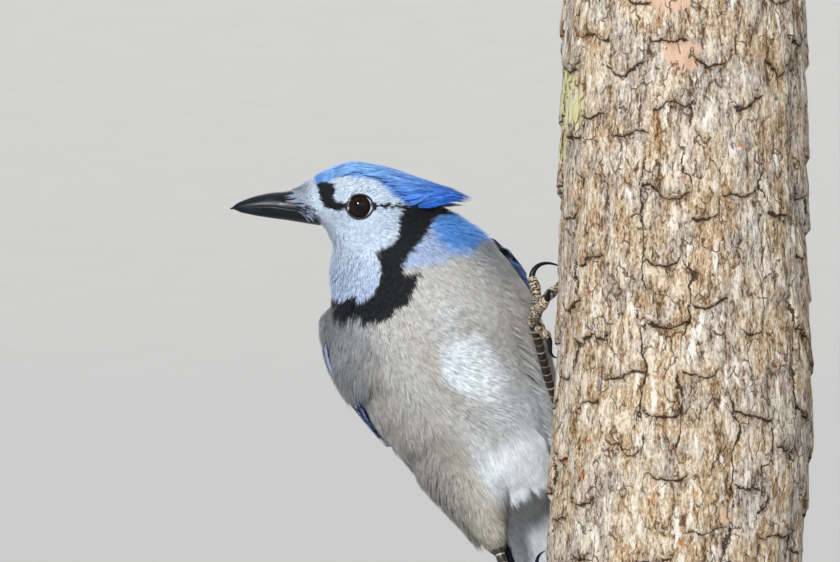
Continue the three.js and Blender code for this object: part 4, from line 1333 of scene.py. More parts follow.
class BLUEJAY_OT_crest(bpy.types.Operator):
    """Long narrow feathers that lie back over the crown and reach past the nape as the crest"""

    bl_idname = "bluejay.crest"
    bl_label = "Crest"

    def execute(self, context):
        rng = np.random.default_rng(sizes().seed + 2)
        rows = []
        for behind in np.linspace(-9, 26, 24):
            reach_round = np.interp(behind, (-9, 5, 25), (48, 78, 88))
            count = int(np.interp(behind, (-9, 5, 25), (17, 27, 22)))
            angles = np.linspace(-reach_round, reach_round, count) + rng.uniform(-3, 3, count)
            rows.append(np.column_stack([behind + rng.uniform(-1, 1, count), angles]))
        behind, angle = np.concatenate(rows).T
        head = to_head(on_crest(behind, angle, 0 * behind)[0])
        kept = head[:, 2] > CROWN_EDGE(head[:, 0])[0] + 1.4 * ease(-26, -12, head[:, 0]) - 0.4
        behind, angle = behind[kept], angle[kept]
        count = len(behind)
        far = ease(0, 25, behind)
        reach = blend(8.5, 15.5, far) * rng.uniform(0.9, 1.06, count) * (1 - 0.25 * np.abs(angle) / 90 * far)
        close = blend(0.97, rng.uniform(0.35, 0.85, count), far)
        lift = blend(0.4, 0.8, far) * rng.uniform(0.7, 1.2, count)
        stray = ease(0.7, 1, far) * ease(0.5, 1, rng.random(count))
        steps = []
        for f, high in ((0, 0.1), (0.5, 1), (1, 1.15 + 1.6 * stray)):
            at = np.minimum(behind + reach * f, 43.5)
            place, normal = on_crest(at, angle * blend(1, close, f), lift * high)
            further = angle * blend(1, close, min(f + 0.05, 1))
            ahead, _ = on_crest(np.minimum(at + 1, 44), further, lift * high)
            steps.append((place, normal, ahead + 1e-9))
        stations = stations_from(steps)
        spreads = blend(1.5, 2.2, far)[:, None] * MM * np.array([0.6, 1, 0.35])
        # Deeper blue towards the back of the crest, and on its far sides as painted shade, the top lighter as
        # if lit from above
        deep = ease(-4, 30, behind) * 0.85 + ease(30, 80, np.abs(angle)) * far * 0.2
        deep = np.clip(0.12 + deep + rng.uniform(-0.15, 0.15, count), 0, 1)[:, None]
        shades = blend(tint("crown"), tint("crest"), deep) * rng.uniform(0.55, 1.12, (count, 1))
        flat = on_map(to_head(stations[0][:, 0])[:, [1, 0]])
        grow("crest", "plumage_blue", stations, spreads, 0.3 * MM, 12, shades, flat, 30, droop=0.35)
        return {"FINISHED"}


# Wings and tail

# Wing: distance ahead of the vent, and reach to the side, depth of the middle, and rise to the back
WING = smooth(
    [
        (-48, 9.5, -16.5, 4.5),
        (-20, 14.5, -13, 9),
        (0, 19.5, -9, 15.5),
        (20, 25.6, -5, 22.5),
        (40, 31, -2, 28),
        (60, 35.2, -0.5, 29.6),
        (76, 35.8, 0, 29),
        (92, 31.5, 0.5, 25),
    ]
)


def wing_sheet(side):
    """Places on a folded wing: distance ahead of the vent, and degrees from the bird's side to its back."""

    def sheet(ahead, angle):
        out, deep, rise = WING(ahead)
        c, s = np.cos(np.radians(angle)), np.sin(np.radians(angle))
        places = columns(side * out * c, ahead, deep - rise * s)
        return places, unit(columns(side * c / out, 0 * c, -s / rise))

    return sheet


def tail_sheet(ahead, across):
    """Places on the tail: distance ahead of the vent, and distance to the left."""
    places = columns(across, ahead, -14.5 + 0.01 * ahead + 0.006 * across**2)
    return places, np.broadcast_to(np.array([0, 0, -1.0]), places.shape)


# Rows of feathers on a folded wing: how many, their width, lift, roots and tips from the first to the last,
# how much longer the middle ones are, their marks (the strength of the bars, the length of the white tip and
# the dark of the inner web), and their colour
WING_ROWS = {
    "primaries": (
        9, 8, (0.1, 1.3), ((70, 12), (66, 26)), ((-26, 34), (-16, 52)), 26, (0.15, 0, 0.95), "crest",
    ),
    "secondaries": (8, 11, (1.4, 2.1), ((62, 24), (54, 48)), ((-14, 46), (-4, 66)), 0, (1, 5, 0.6), "crest"),
    "tertials": (3, 13, (2.3, 2.8), ((58, 52), (58, 71)), ((4, 63), (28, 72)), 0, (1, 5, 0.1), "crest"),
    "primary_coverts": (
        6, 6, (1.2, 1.7), ((82, -3), (80, 8)), ((56, 0), (46, 14)), 0, (0.9, 0, 0.4), "crest",
    ),
    "greater_coverts": (
        9, 9, (2.3, 2.8), ((72, 10), (68, 70)), ((42, 13), (34, 71)), 0, (1, 4.5, 0.2), "crest",
    ),
    "median_coverts": (9, 9, (2.9, 3.3), ((80, 4), (78, 68)), ((62, 8), (56, 70)), 0, (0.25, 0, 0), "nape"),
    "lesser_coverts": (10, 7.5, (3.2, 3.7), ((86, 0), (84, 66)), ((72, 3), (66, 70)), 0, (0, 0, 0), "mantle"),
    "shoulder": (10, 7, (2.9, 3.6), ((91, 6), (91, 62)), ((79, 4), (75, 68)), 0, (0, 0, 0), "mantle"),
    "alula": (3, 5.5, (1.9, 2.4), ((80, -4), (79, 3)), ((63, -3), (56, 5)), 0, (0.8, 1.2, 0.3), "crest"),
}
WING_MAP = 9  # places in a row of a wing's map
TAIL_MAP = 6
WING_TILT = 0.5  # how far a feather's lower edge stands over the next one
VANE_STEPS = 26
VANE_LANES = np.array([-1, -0.8, -0.45, -0.1, 0, 0.1, 0.45, 0.8, 1])
# Painted shade: the undersides' dusky colour is made nearly black, darker than the feathers' own grey
SHADED_UNDERSIDE = np.array([0.035, 0.038, 0.046])  # dusky colour of the undersides of the wing and tail feathers


def vane_outline(shares, softness):
    """A vane's half width along it, as a share: narrow at the quill, full, and round or blunt at the tip."""
    base = ease(-0.12, 0.3, shares)
    tip = np.sqrt(np.clip(1 - (np.clip(shares - softness, 0, 1) / (1 - softness)) ** 2, 0.02, 1))
    return base * tip


def vane(sheet, root, tip, width, lift, marks, shade, rng, shaft_at=0.0, bow=8.0, sink=1.0, softness=0.82):
    """One feather on a sheet: a thin closed vane with a raised shaft, split and ragged at its edges."""
    shares = np.linspace(0, 1, VANE_STEPS)[:, None]
    ahead = blend(root[0], tip[0], shares)
    centre = blend(root[1], tip[1], shares) + bow * shares * (1 - shares)
    scale = np.linalg.norm(sheet(ahead, centre + 0.5)[0] - sheet(ahead, centre - 0.5)[0], axis=2)
    half = (width / 2) * vane_outline(shares, softness)
    notch = 1 - 0.1 * (rng.random((VANE_STEPS, 2)) < 0.14) * (shares > 0.25)
    lanes = VANE_LANES * np.ones((VANE_STEPS, 1))
    lanes[:, [0, -1]] *= notch
    offset = np.where(lanes < 0, lanes * (1 + shaft_at), lanes * (1 - shaft_at)) + shaft_at
    across = half * offset
    places, normals = sheet(ahead * np.ones_like(across), centre + across / scale)
    camber = 0.5 * (1 - offset**2) * np.minimum(1, half / 3)
    shaft = (VANE_LANES == 0) * blend(0.5, 0.12, shares)
    height = lift - sink * ease(0.2, 0, shares) + camber + shaft + WING_TILT * (1 - offset) / 2
    thick = sizes().vane_thick / MM * (1 - 0.45 * np.abs(offset))
    layers = [(places + normals * high[..., None]).reshape(-1, 3) for high in (height, height - thick)]
    count = across.size
    index = np.arange(count).reshape(across.shape)
    quads = columns(index[:-1, :-1], index[:-1, 1:], index[1:, 1:], index[1:, :-1]).reshape(-1, 4)
    ring = np.concatenate([index[0, :-1], index[:-1, -1], index[-1, :0:-1], index[:0:-1, 0]])
    after = np.roll(ring, -1)
    wall = columns(after, ring, ring + count, after + count)
    back = abs(tip[0] - root[0]) * (1 - shares) + 0 * across
    place = columns(across - half * shaft_at, back, 0 * across).reshape(-1, 3)
    u, v = (VANE_LANES + 1) / 2 * 0.94 + 0.03 + 0 * across, shares * 0.94 + 0.03 + 0 * across
    flat = [columns(u * 0.5 + start, v).reshape(-1, 2) for start in (0, 0.5)]
    return {
        "verts": from_body(np.concatenate(layers)),
        "faces": np.concatenate([quads, quads[:, ::-1] + count, wall]),
        "place": np.concatenate([place, place]),
        "marks": np.broadcast_to(np.array(marks, float), (2 * count, 3)),
        "plumage": np.repeat([shade * rng.uniform(0.88, 1.12), blend(shade, SHADED_UNDERSIDE, 0.94)], count, axis=0),
        "uv": np.concatenate(flat),
    }


def join_vanes(name, vanes, cells, node):
    """One mesh of many vanes, with what their material reads, each in its own place of a map."""
    starts = np.cumsum([0] + [len(v["verts"]) for v in vanes[:-1]])
    for k, (one, start) in enumerate(zip(vanes, starts)):
        one["faces"] = one["faces"] + start
        one["uv"] = (one["uv"] + np.array([k % cells, k // cells])) / cells
    whole = {key: np.concatenate([one[key] for one in vanes]) for key in vanes[0]}
    obj = mesh_from(name, whole["verts"], whole["faces"], whole["uv"])
    paint(obj.data, "place", whole["place"], "FLOAT_VECTOR")
    paint(obj.data, "marks", whole["marks"], "FLOAT_VECTOR")
    paint(obj.data, "plumage", np.clip(whole["plumage"], 0, 1))
    pick(obj)
    bpy.ops.object.mode_set(mode="EDIT")
    close_up()
    finish_piece(obj, "flight_feathers", ["vane"], [node], angle=50)


class BLUEJAY_OT_wings(bpy.types.Operator):
    """Both folded wings, feather by feather, from the primaries up to the shoulder"""

    bl_idname = "bluejay.wings"
    bl_label = "Wings"

    def execute(self, context):
        for name, side in SIDES.items():
            rng = np.random.default_rng(sizes().seed + 3)
            sheet = wing_sheet(side)
            vanes = []
            for kind, (count, width, lifts, roots, tips, reach, marks, key) in WING_ROWS.items():
                lean = -0.35 if kind in ("primaries", "alula") else -0.15
                for f in np.linspace(0, 1, count):
                    root, tip = (blend(*np.array(ends, float), f) for ends in (roots, tips))
                    tip[0] -= reach * math.sin(math.pi * f**0.8)
                    tip += rng.uniform(-0.8, 0.8, 2)
                    vanes.append(vane(sheet, root, tip, width, blend(*lifts, f), marks, tint(key), rng, lean))
            join_vanes(f"wing_feathers_{name}", vanes, WING_MAP, f"wing_{name}")
        return {"FINISHED"}


TAIL_PAIRS = 6
TAIL_LENGTH = 120
TAIL_TIPS = (0, 4, 8, 12, 17, 24)  # length of the white tip, from the middle pair to the outer one


class BLUEJAY_OT_tail(bpy.types.Operator):
    """The tail's six pairs of feathers, with the coverts over and under their roots"""

    bl_idname = "bluejay.tail"
    bl_label = "Tail"

    def execute(self, context):
        rng = np.random.default_rng(sizes().seed + 4)
        vanes = []
        for k in range(TAIL_PAIRS - 1, -1, -1):
            for side in (-1, 1):
                share = k / (TAIL_PAIRS - 1)
                root = (10, side * (1 + 0.9 * k))
                tip = (5 - TAIL_LENGTH + 18 * share**2, side * (1.6 + 2.3 * k))
                lift = 0.4 * (TAIL_PAIRS - k) + (0.2 if side > 0 else 0) - 0.3
                marks = (1, TAIL_TIPS[k], 0.25)
                lean = -0.3 * share * side
                blue = tint("crest")
                vanes.append(vane(tail_sheet, root, tip, 11.5, lift, marks, blue, rng, lean, 0, 0, 0.9))
        for over, key, long in ((True, "mantle", -22), (False, "white", -34)):
            for k in (-2, 2, -1, 1, 0):
                root = (14, 2.4 * k)
                tip = (long + 5 * abs(k), 2.8 * k)
                lift = 3.4 - 0.3 * abs(k) if over else -0.9 - 0.4 * (2 - abs(k))
                vanes.append(vane(tail_sheet, root, tip, 10, lift, (0, 0, 0), tint(key), rng, 0, 0, 0, 0.7))
        join_vanes("tail_feathers", vanes, TAIL_MAP, "tail")
        return {"FINISHED"}


def belly_sheet(ahead, across):
    """Places and normals on the belly's front, that run straight on behind it."""
    right, left, _, front = BODY(np.maximum(ahead, 8))
    off = (across - (right + left) / 2) / ((left - right) / 2)
    places = columns(across, ahead, front * np.sqrt(np.clip(1 - off**2, 0.1, 1)))
    return places, unit(columns(0.6 * off, -0.25 + 0 * off, 1 + 0 * off))


def under_tail(ahead, across):
    """Places and normals under the tail, on a swell that joins its underside to the belly."""
    places, _ = tail_sheet(ahead, across)
    places[..., 2] += 11 * ease(-44, 8, ahead) * np.sqrt(np.clip(1 - (across / 13) ** 2, 0, 1))
    return places, unit(columns(across / 14, -0.3 + 0 * across, 1 + 0 * across))


# Where soft long feathers lie over the wings' front edges, at the belly's lower end and under the tail: the
# sheet they lie on, the first and last distance ahead of the vent, the first and last place across it, how
# far they turn round it, how high they stand, and how many there are
SOFT_ROWS = {
    "bend": ("R", (98, 71), (-46, 34), 12, 1.15, 1250),
    "side": ("R", (72, 44), (-50, -14), 8, 0.8, 460),
    "flank": ("R", (46, 4), (-50, -12), 30, 1, 640),
    "left": ("L", (88, 4), (-50, 4), 12, 0.5, 1300),
    "fringe": (belly_sheet, (24, 12), (-9, 12), 0, 0.4, 300),
    "undertail": (under_tail, (10, -32), (-10, 10), 0, 0.5, 420),
}


class BLUEJAY_OT_flanks(bpy.types.Operator):
    """Long soft feathers from the breast's sides and the flanks over the wings' edges, and under the tail"""

    bl_idname = "bluejay.flanks"
    bl_label = "Flanks"

    def execute(self, context):
        rng = np.random.default_rng(sizes().seed + 8)
        surface = Surface(bpy.data.objects["skin"])
        for name, (side, along_bird, around, reach, stand, count) in SOFT_ROWS.items():
            sheet = wing_sheet(SIDES[side]) if side in SIDES else side
            ahead = rng.uniform(*sorted(along_bird), count)
            across = rng.uniform(*around, count)
            long = rng.uniform(10, 14, count)
            start = np.maximum(ease(along_bird[0] - 6, along_bird[0] - 16, ahead), ease(-16, -6, across))
            flush = ease(around[0] - 2, around[0] + 20, across) * start
            high = rng.uniform(0.75, 1.1, count) * stand * (0.35 + 0.65 * flush)
            steps = []
            for f, lift in ((0, -1.9), (0.5, 2.9), (1, 3.7)):
                place, normal = sheet(ahead - long * f, across + reach * f)
                after, _ = sheet(ahead - long * f - 1, across + reach * (f + 1 / 14))
                raised = lift * high[:, None] * normal
                steps.append((from_body(place + raised), normal @ BODY_AXES, from_body(after + raised)))
            stations = stations_from(steps)
            if side in SIDES:
                skin, outward = surface.nearest(stations[0][:, 0])
                stations[0][:, 0] = skin - 0.5 * MM * outward
            spreads = (long * 0.3)[:, None] * MM * np.array([0.4, 0.9, 1])
            flat = unroll(stations[0][:, 0], False)
            shades = shades_of(stations)
            if side not in SIDES:
                share = 0.8 * ease(-10, 0, across) if name == "fringe" else np.ones(count)
                shades = blend(shades, tint("white"), share[:, None])
            grow(f"soft_{name}", "plumage_grey", stations, spreads, 0.24 * MM, 14, shades, flat, 60)
        return {"FINISHED"}


# Head


class BLUEJAY_OT_eyes(bpy.types.Operator):
    """Glossy eyes, each in the ring of its lids"""

    bl_idname = "bluejay.eyes"
    bl_label = "Eyes and lids"

    def execute(self, context):
        quarter = (math.pi / 2, 0, 0)
        for side, sign in SIDES.items():
            low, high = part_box(f"eye_{side}")
            radius = (high.x - low.x) / 2
            settings = {"segments": 56, "ring_count": 36, "radius": radius, "location": EYES[side]}
            eye = primitive(bpy.ops.mesh.primitive_uv_sphere_add, rotation=quarter, **settings)
            settle(eye, f"eyeball_{side}")
            places = places_of(eye.data)
            out = (places - EYES[side]) @ HEAD_AXES[1] * sign / radius
            places += np.outer(ease(0.75, 1, out) * 0.25 * MM * sign, HEAD_AXES[1])
            move_to(eye.data, places)
            finish_piece(eye, "eye", [f"eye_{side}"], [f"eye_{side}"])

            settings = {"major_segments": 96, "minor_segments": 14, "major_radius": 4.75 * MM}
            settings |= {"minor_radius": sizes().lid_size, "location": from_head((0, sign * 12.75, 0))}
            ring = primitive(bpy.ops.mesh.primitive_torus_add, rotation=quarter, **settings)
            settle(ring, f"lids_{side}")
            self.crease(ring, sign)
            finish_piece(ring, "eye", ["lid_skin"])
        return {"FINISHED"}

    def crease(self, ring, sign):
        """Makes a ring two creased lids, pointed at their front and back corners."""
        x, y, z = to_head(places_of(ring.data)).T
        turn = np.arctan2(z, x)
        creases = 1 + 0.02 * np.sin(turn * 34) * np.abs(np.sin(turn))
        corner = 1 + 0.044 * np.exp(-((np.abs(np.cos(turn)) - 1) ** 2) / 0.004)
        y = sign * (np.abs(y) - 0.35 * np.cos(turn) ** 2 - 0.1)
        move_to(ring.data, from_head(columns(x * corner * creases, y, z * 0.9 * creases)))


# Bill: distance ahead of the eyes, height of its upper edge, mouth line and lower edge, and half width
BILL = smooth(
    [
        (12, 9, -3.6, -7.2, 6.2),
        (20, 6.6, -2, -6, 5.6),
        (26, 5.2, -0.9, -5, 5),
        (32, 4.7, -0.1, -4.2, 4),
        (38, 3.4, -0.1, -3.2, 2.9),
        (43, 1.6, -0.6, -2.1, 1.7),
        (46, 0.1, -1, -1.4, 0.7),
    ]
)
BILL_TIPS = {"upper": 46.7, "lower": 45.2}
NOSTRIL = (26.5, 4.6, 2.4)
BRISTLES = 110  # on each side


class BLUEJAY_OT_bill(bpy.types.Operator):
    """Both halves of the bill, with nostrils, and the bristles that lean over them"""

    bl_idname = "bluejay.bill"
    bl_label = "Bill"

    def execute(self, context):
        place = basis(HEAD_AXES[1], HEAD_AXES[2], HEAD_AXES[0], EYES_MID)
        for half, tip in BILL_TIPS.items():
            stations = np.append(np.linspace(14, tip - 3, 26), tip - np.array([2.2, 1.4, 0.8, 0.3, 0]))
            rows = []
            for x, (top, mouth, bottom, wide) in zip(stations, BILL(stations).T):
                near_tip = math.sqrt(min(1, max(0.02, (tip - x) / 2.4)))
                reach = max(top - mouth if half == "upper" else mouth - bottom, 0.25)
                rows.append((x, 0, mouth, wide * near_tip, max(reach * near_tip, 0.1)))
            bill = loft(rows, 40, place)
            self.shape(bill, half)
            if half == "upper":
                for sign in SIDES.values():
                    at = from_head((NOSTRIL[0], sign * NOSTRIL[1], NOSTRIL[2]))
                    cut(bill, ball(at, (1.7, 0.9, 0.7), 24, 14))
            settle(bill, f"bill_{half}_horn")
            apply_modifier(bill, "SMOOTH", factor=0.4, iterations=2)
            finish_piece(bill, "horn", ["bill_horn"], [f"bill_{half}"], angle=50)
        self.bristles()
        return {"FINISHED"}

    def shape(self, bill, half):
        """Flattens one side of each ring to the mouth line, with a thin, sharp edge, and ridges the top."""
        x, y, z = to_head(places_of(bill.data)).T
        top, mouth, _, wide = BILL(x)
        up = 1 if half == "upper" else -1
        off = z - mouth
        facing = off * up > 0
        ridge = 0.1 * (top - mouth) * ease(0.5, 0, np.abs(y) / wide) * facing * (half == "upper")
        z = mouth + 0.04 * up + np.where(facing, off * 0.97, off * 0.08) + ridge
        move_to(bill.data, from_head(columns(x, y, z)))

    def bristles(self):
        """Stiff fine feathers from the forehead and the chin, close over the bill's base."""
        rng = np.random.default_rng(sizes().seed + 5)
        draws = rng.random((2 * BRISTLES, 4)).T
        sign = np.repeat(list(SIDES.values()), BRISTLES)
        height = blend(-5.6, 5.6, draws[0])
        root = blend(13.5, 18.5, draws[1]) + 0.35 * np.maximum(height, 0)
        reach = np.interp(height, (-5, -1.5, 0, 5), (3.5, 5, 9, 8)) * blend(0.6, 1.1, draws[2])
        lift = blend(0.15, 0.5, draws[3])
        steps = []
        for f, up in ((0, -0.8), (0.5, 1), (1, 1.4)):
            x, z = root + reach * f, blend(height, height * 0.62 + 0.6, f)
            place, normal = self.on_bill(x, sign, z, lift * up)
            steps.append((place, normal, self.on_bill(x + 0.5, sign, z, lift * up)[0]))
        dark = rng.random(len(root)) < np.interp(height, (-5, 0, 3), (0.55, 0.45, 0.12))
        shades = np.where(dark[:, None], 2 * tint("black"), blend(tint("flank"), tint("lilac"), 0.45))
        flat = on_map(columns(sign * (height + 12), root))
        spreads = np.broadcast_to(MM * np.array([1.1, 0.9, 0.4]), (len(root), 3))
        stations = stations_from(steps)
        grow("bristles", "plumage_pale", stations, spreads, 0.14 * MM, 7, shades, flat, 31, droop=0.4)

    def on_bill(self, x, sign, height, lift):
        """Places close over the side of the head or the bill, whichever stands further out."""
        reach = np.zeros_like(x)
        top, bottom, head_wide = HEAD(x)
        upper, _, lower, bill_wide = BILL(x)
        for high, low, wide in ((top, bottom, head_wide), (upper, lower, bill_wide)):
            share = np.clip((height - (high + low) / 2) / ((high - low) / 2), -0.98, 0.98)
            out = wide * np.sqrt(1 - share**2)
            if wide is head_wide:
                out = (out - 0.8) * ease(26, 19, x)
            reach = np.maximum(reach, out)
        normals = unit(columns(0 * x + 0.1, sign, height * 0.12))
        places = columns(x, sign * reach, height)
        return from_head(places + normals * lift[:, None]), normals @ HEAD_AXES


# Trunk: height, and shift and radius of the middle of its bark
TRUNK_ROWS = [
    (51.5, -5, 46.5),
    (100.7, -3.2, 45.6),
    (151.4, 0.2, 46.2),
    (194.3, 0.2, 44.7),
    (247.9, 0.4, 44.2),
    (308.6, 0.8, 43.6),
]
TRUNK = smooth(TRUNK_ROWS)
TRUNK_AXIS = (25, -12)


def on_trunk(angle, height, off):
    """A place by its angle from the viewer's left towards the back, its height and how far it stands off."""
    shift, radius = TRUNK(height)
    c, s = math.cos(math.radians(angle)), math.sin(math.radians(angle))
    reach = radius + off
    return np.array([TRUNK_AXIS[0] + shift - reach * c, TRUNK_AXIS[1] + reach * s, height]) * MM


# Legs

# Each toe's middle joint, its end, the height that its claw arches to, and the claw's tip in the bark
FEET = {
    "L": {
        "ankle": (12.7, 186.4, 9.7),
        "middle": ((12, 195, 8.4), (12.5, 202.5, 10.6), (15, 210.5, 8), (19.4, 205.5, 0.4)),
        "inner": ((5, 190.5, 7.2), (1, 194.5, 3.9), (-3.5, 198.5, 5), (-5.5, 197, 0.4)),
        "outer": ((19, 193, 8.5), (27, 199, 5.4), (33, 204, 6), (36, 203, 0.4)),
        "hind": ((13.5, 183.6, 7), (13.8, 180.5, 4.2), (14.5, 174, 5.5), (15, 173.5, 0.4)),
    },
    "R": {
        "ankle": (10.3, 75, 5),
        "middle": ((1, 79, 3.4), (-14, 84, 2.8), (-21, 88, 5), (-26, 86, 0.4)),
        "inner": ((3, 71.5, 3.4), (-8, 68, 2.6), (-15, 66.5, 5), (-19, 66, 0.4)),
        "outer": ((9, 85, 3.4), (5, 96, 2.8), (2, 103, 5), (0, 105, 0.4)),
        "hind": ((17, 71, 3.4), (27, 67, 2.6), (34, 65, 5.5), (40, 64, 0.4)),
    },
}
TOES = ("middle", "inner", "outer", "hind")
TOE_RADIUS = 2.0
TARSUS_RADIUS = 1.75
CLAW_RADIUS = 1.15


def scaled_tube(name, points, shares, radius, scutes, worn=0.0):
    """A leg or toe: a tube with a rim at each scute, and the attribute groove where cream skin shows: in the
    grooves, or on worn plates between dark ones."""
    ridge = 0.95 + 0.1 * np.sin(np.pi * (shares * scutes % 1)) ** 0.5
    obj = tube(name, points, radius * ridge * MM, 7)
    gaps = np.linalg.norm(places_of(obj.data)[:, None, :] - points[None, ::2, :], axis=2)
    phase = shares[::2][gaps.argmin(1)] * scutes % 1
    groove = np.maximum(ease(0.2, 0.04, phase), ease(0.86, 0.96, phase))
    plate = ease(0.04, 0.14, phase) * ease(0.99, 0.92, phase)
    paint(obj.data, "groove", blend(groove, plate, worn), "FLOAT")
    return obj


class BLUEJAY_OT_legs(bpy.types.Operator):
    """Scaled tarsi and toes, and the curved claws that hook into the bark"""

    bl_idname = "bluejay.legs"
    bl_label = "Legs and claws"

    def execute(self, context):
        for side, foot in FEET.items():
            heel = np.array(THIGHS[side]["heel"])
            ankle = on_trunk(*foot["ankle"])
            points, shares = along([heel, (heel + ankle) / 2, ankle], 140)
            radius = TARSUS_RADIUS * (0.94 + 0.25 * np.abs(2 * shares - 1) ** 6)
            tarsus = scaled_tube(f"tarsus_scales_{side}", points, shares, radius, 11)
            finish_piece(tarsus, "leg_scales", ["leg_scales"], [f"tarsus_{side}"])
            toes = []
            for toe in TOES:
                knuckle, end, over, tip = (on_trunk(*place) for place in foot[toe])
                points, shares = along([ankle, knuckle, end], 110)
                radius = TOE_RADIUS * (1 - 0.2 * shares + 0.12 * np.cos(shares * 5 * math.pi))
                long = np.linalg.norm(np.diff(points, axis=0), axis=1).sum() / MM
                toes.append(scaled_tube(f"toe_{side}_{toe}", points, shares, radius, round(long / 1.6), 0.7))
                self.claw(f"{side}_{toe}", end, end - knuckle, over, tip)
            finish_piece(join(toes, f"foot_scales_{side}"), "leg_scales", ["leg_scales"], [f"foot_{side}"])
        return {"FINISHED"}

    def claw(self, name, end, away, over, tip):
        """A claw along a curve that leaves its toe straight and bends down into the bark."""
        start = end - unit(away) * 0.8 * MM
        push = end + unit(away) * 2.5 * MM
        f = np.linspace(0, 1, 28)[:, None]
        curve = start * (1 - f) ** 3 + push * 3 * f * (1 - f) ** 2 + over * 3 * f * f * (1 - f) + tip * f**3
        radii = (CLAW_RADIUS * (1 - f[:, 0]) ** 0.75 + 0.1) * MM
        obj = tube(f"claw_horn_{name}", curve, radii, 6)
        finish_piece(obj, "horn", ["claw_horn"], [f"claw_{name}"])


# Perch and stand


def patchwork(across, up, cells_round, cell_high, seed):
    """Smooth random values from -0.5 to 0.5 over the bark, that meet round the trunk. across is in turns."""
    rng = np.random.default_rng(seed)
    grid = rng.random((int(up.max() / cell_high) + 3, cells_round)) - 0.5
    x, row = across * cells_round, up / cell_high
    i, j = np.floor(x).astype(int), np.floor(row).astype(int)
    f, g = ease(0, 1, x - i), ease(0, 1, row - j)
    a, b = i % cells_round, (i + 1) % cells_round
    below, above = np.minimum(j, len(grid) - 1), np.minimum(j + 1, len(grid) - 1)
    return blend(blend(grid[below, a], grid[below, b], f), blend(grid[above, a], grid[above, b], f), g)


def flakes(across, up, columns, high, jitter, seed):
    """Jittered cells: the gap between the two nearest, and the nearest one's own value and tilt."""
    rng = np.random.default_rng(seed)
    rows = int(up.max() / high) + 4
    shift = rng.uniform(-jitter, jitter, (rows, columns, 2))
    own = rng.random((rows, columns))
    x, y = across * columns, up / high + 1
    i, j = np.floor(x).astype(int), np.floor(y).astype(int)
    first, second = np.full((2, len(x)), 9.0)
    value, tilt = np.zeros((2, len(x)))
    for di in (-1, 0, 1):
        for dj in (-1, 0, 1):
            row = np.clip(j + dj, 0, rows - 1)
            col = (i + di) % columns
            dx = x - (i + di + 0.5 + shift[row, col, 0])
            dy = y - (j + dj + 0.5 + shift[row, col, 1])
            gap = (np.abs(dx) ** 2.6 + np.abs(dy) ** 2.6) ** (1 / 2.6)
            nearer = gap < first
            second = np.where(nearer, first, np.minimum(second, gap))
            value = np.where(nearer, own[row, col], value)
            tilt = np.where(nearer, dy, tilt)
            first = np.where(nearer, gap, first)
    return second - first, value, tilt


# Plates of bark as the solid has them: how many round the trunk and up it, how high one is, how the surface
# stands at its lower and upper edge, how much plates differ, and how deep the seams between the columns are
PLATE_COLUMNS = 18
PLATE_ROWS = 9
PLATE_HIGH = 27
PLATE_EDGES = (0.9, -0.8)
PLATE_LEVELS = 1.0
SEAM_DEPTH = 0.5
SEAM_WIDE = 14  # a column's width in millimetres
CRACK_REACH = 3  # a crack is only open so near its edge or seam
GRIP_REACH = 9  # the plates lie flat so near a claw


def chance(column, row):
    """A number from 0 to 1 for each plate, spread as if by chance, and the same as in the solid."""
    return np.abs(np.sin(column * 12.9898 + row * 78.233) * 43758.5453) % 1


def bark_plates(across, height, wander):
    """How the plates stand, the distance to the nearest edge, how far it is open, and that to the seam."""
    x = across * PLATE_COLUMNS + wander[0]
    column = np.floor(x + 0.5).astype(int)
    side = 2 * np.abs(x - column)
    seam = (x - np.floor(x) - 0.5) * SEAM_WIDE
    column %= PLATE_COLUMNS
    up = height + wander[1] - 2.5 * side**2
    rows = np.arange(-1, PLATE_ROWS + 1)
    columns = np.arange(PLATE_COLUMNS)[:, None]
    stagger = 0.3 + 0.5 * (columns % 2) + 0.3 * (chance(columns, rows) - 0.5)
    edges = TRUNK_ROWS[0][0] + PLATE_HIGH * (rows + stagger)
    row = (up[:, None] > edges[column, 1:-1]).sum(1)
    low, high = edges[column, row], edges[column, row + 1]
    level = PLATE_LEVELS * (chance(column, row + 40) - 0.5)
    stand = blend(*PLATE_EDGES, (up - low) / (high - low)) + level - SEAM_DEPTH * side**2
    above = high - up < up - low
    edge = np.where(above, up - high, up - low)
    opening = ease(0.15, 0.45, chance(column, row + above + 90)) * ease(1, 0.75, side)
    return stand, edge, opening, seam


def bark_relief(across, height):
    """The bark in millimetres: its plates, what is finer, the distances to cracks and how far they open."""
    up = height - TRUNK_ROWS[0][0]

    def patches(cells_round, cell_high, k):
        return patchwork(across, up, cells_round, cell_high, sizes().seed + 6 + k)

    wide = patches(44, 8, 1) * 0.5 + patches(130, 4, 2) * 0.2
    high = patches(44, 13, 3) * 6 + patches(120, 5, 4) * 1.2
    stand, edge, opening, seam = bark_plates(across, height, (wide, high))
    split = ease(-0.05, 0.2, patches(20, 34, 5)) * ease(-0.3, 0, patches(60, 11, 6))
    crack = np.maximum(opening * np.exp(-(((edge + 0.5) / 0.7) ** 2)), split * np.exp(-((seam / 0.8) ** 2)))
    thin, flake, tilt = flakes(across + patches(90, 9, 7) * 0.02, up, 92, 7.5, 0.45, sizes().seed + 14)
    fine = 0.35 * (flake - 0.5) - 0.3 * tilt - 0.2 * ease(0.12, 0.02, thin)
    fine += patches(150, 8, 9) * 0.6 - 0.7 * crack
    opened = (opening * (np.abs(edge) < CRACK_REACH), split * (np.abs(seam) < CRACK_REACH), 0 * edge)
    return stand, fine, (edge, seam, flake), opened


def select_faces(obj, wanted):
    """Selects the faces of a piece in edit mode that wanted says yes to, and nothing else."""
    bpy.ops.mesh.select_mode(type="FACE")
    bpy.ops.mesh.select_all(action="DESELECT")
    for face in bmesh.from_edit_mesh(obj.data).faces:
        face.select_set(wanted(face))
    bmesh.update_edit_mesh(obj.data)


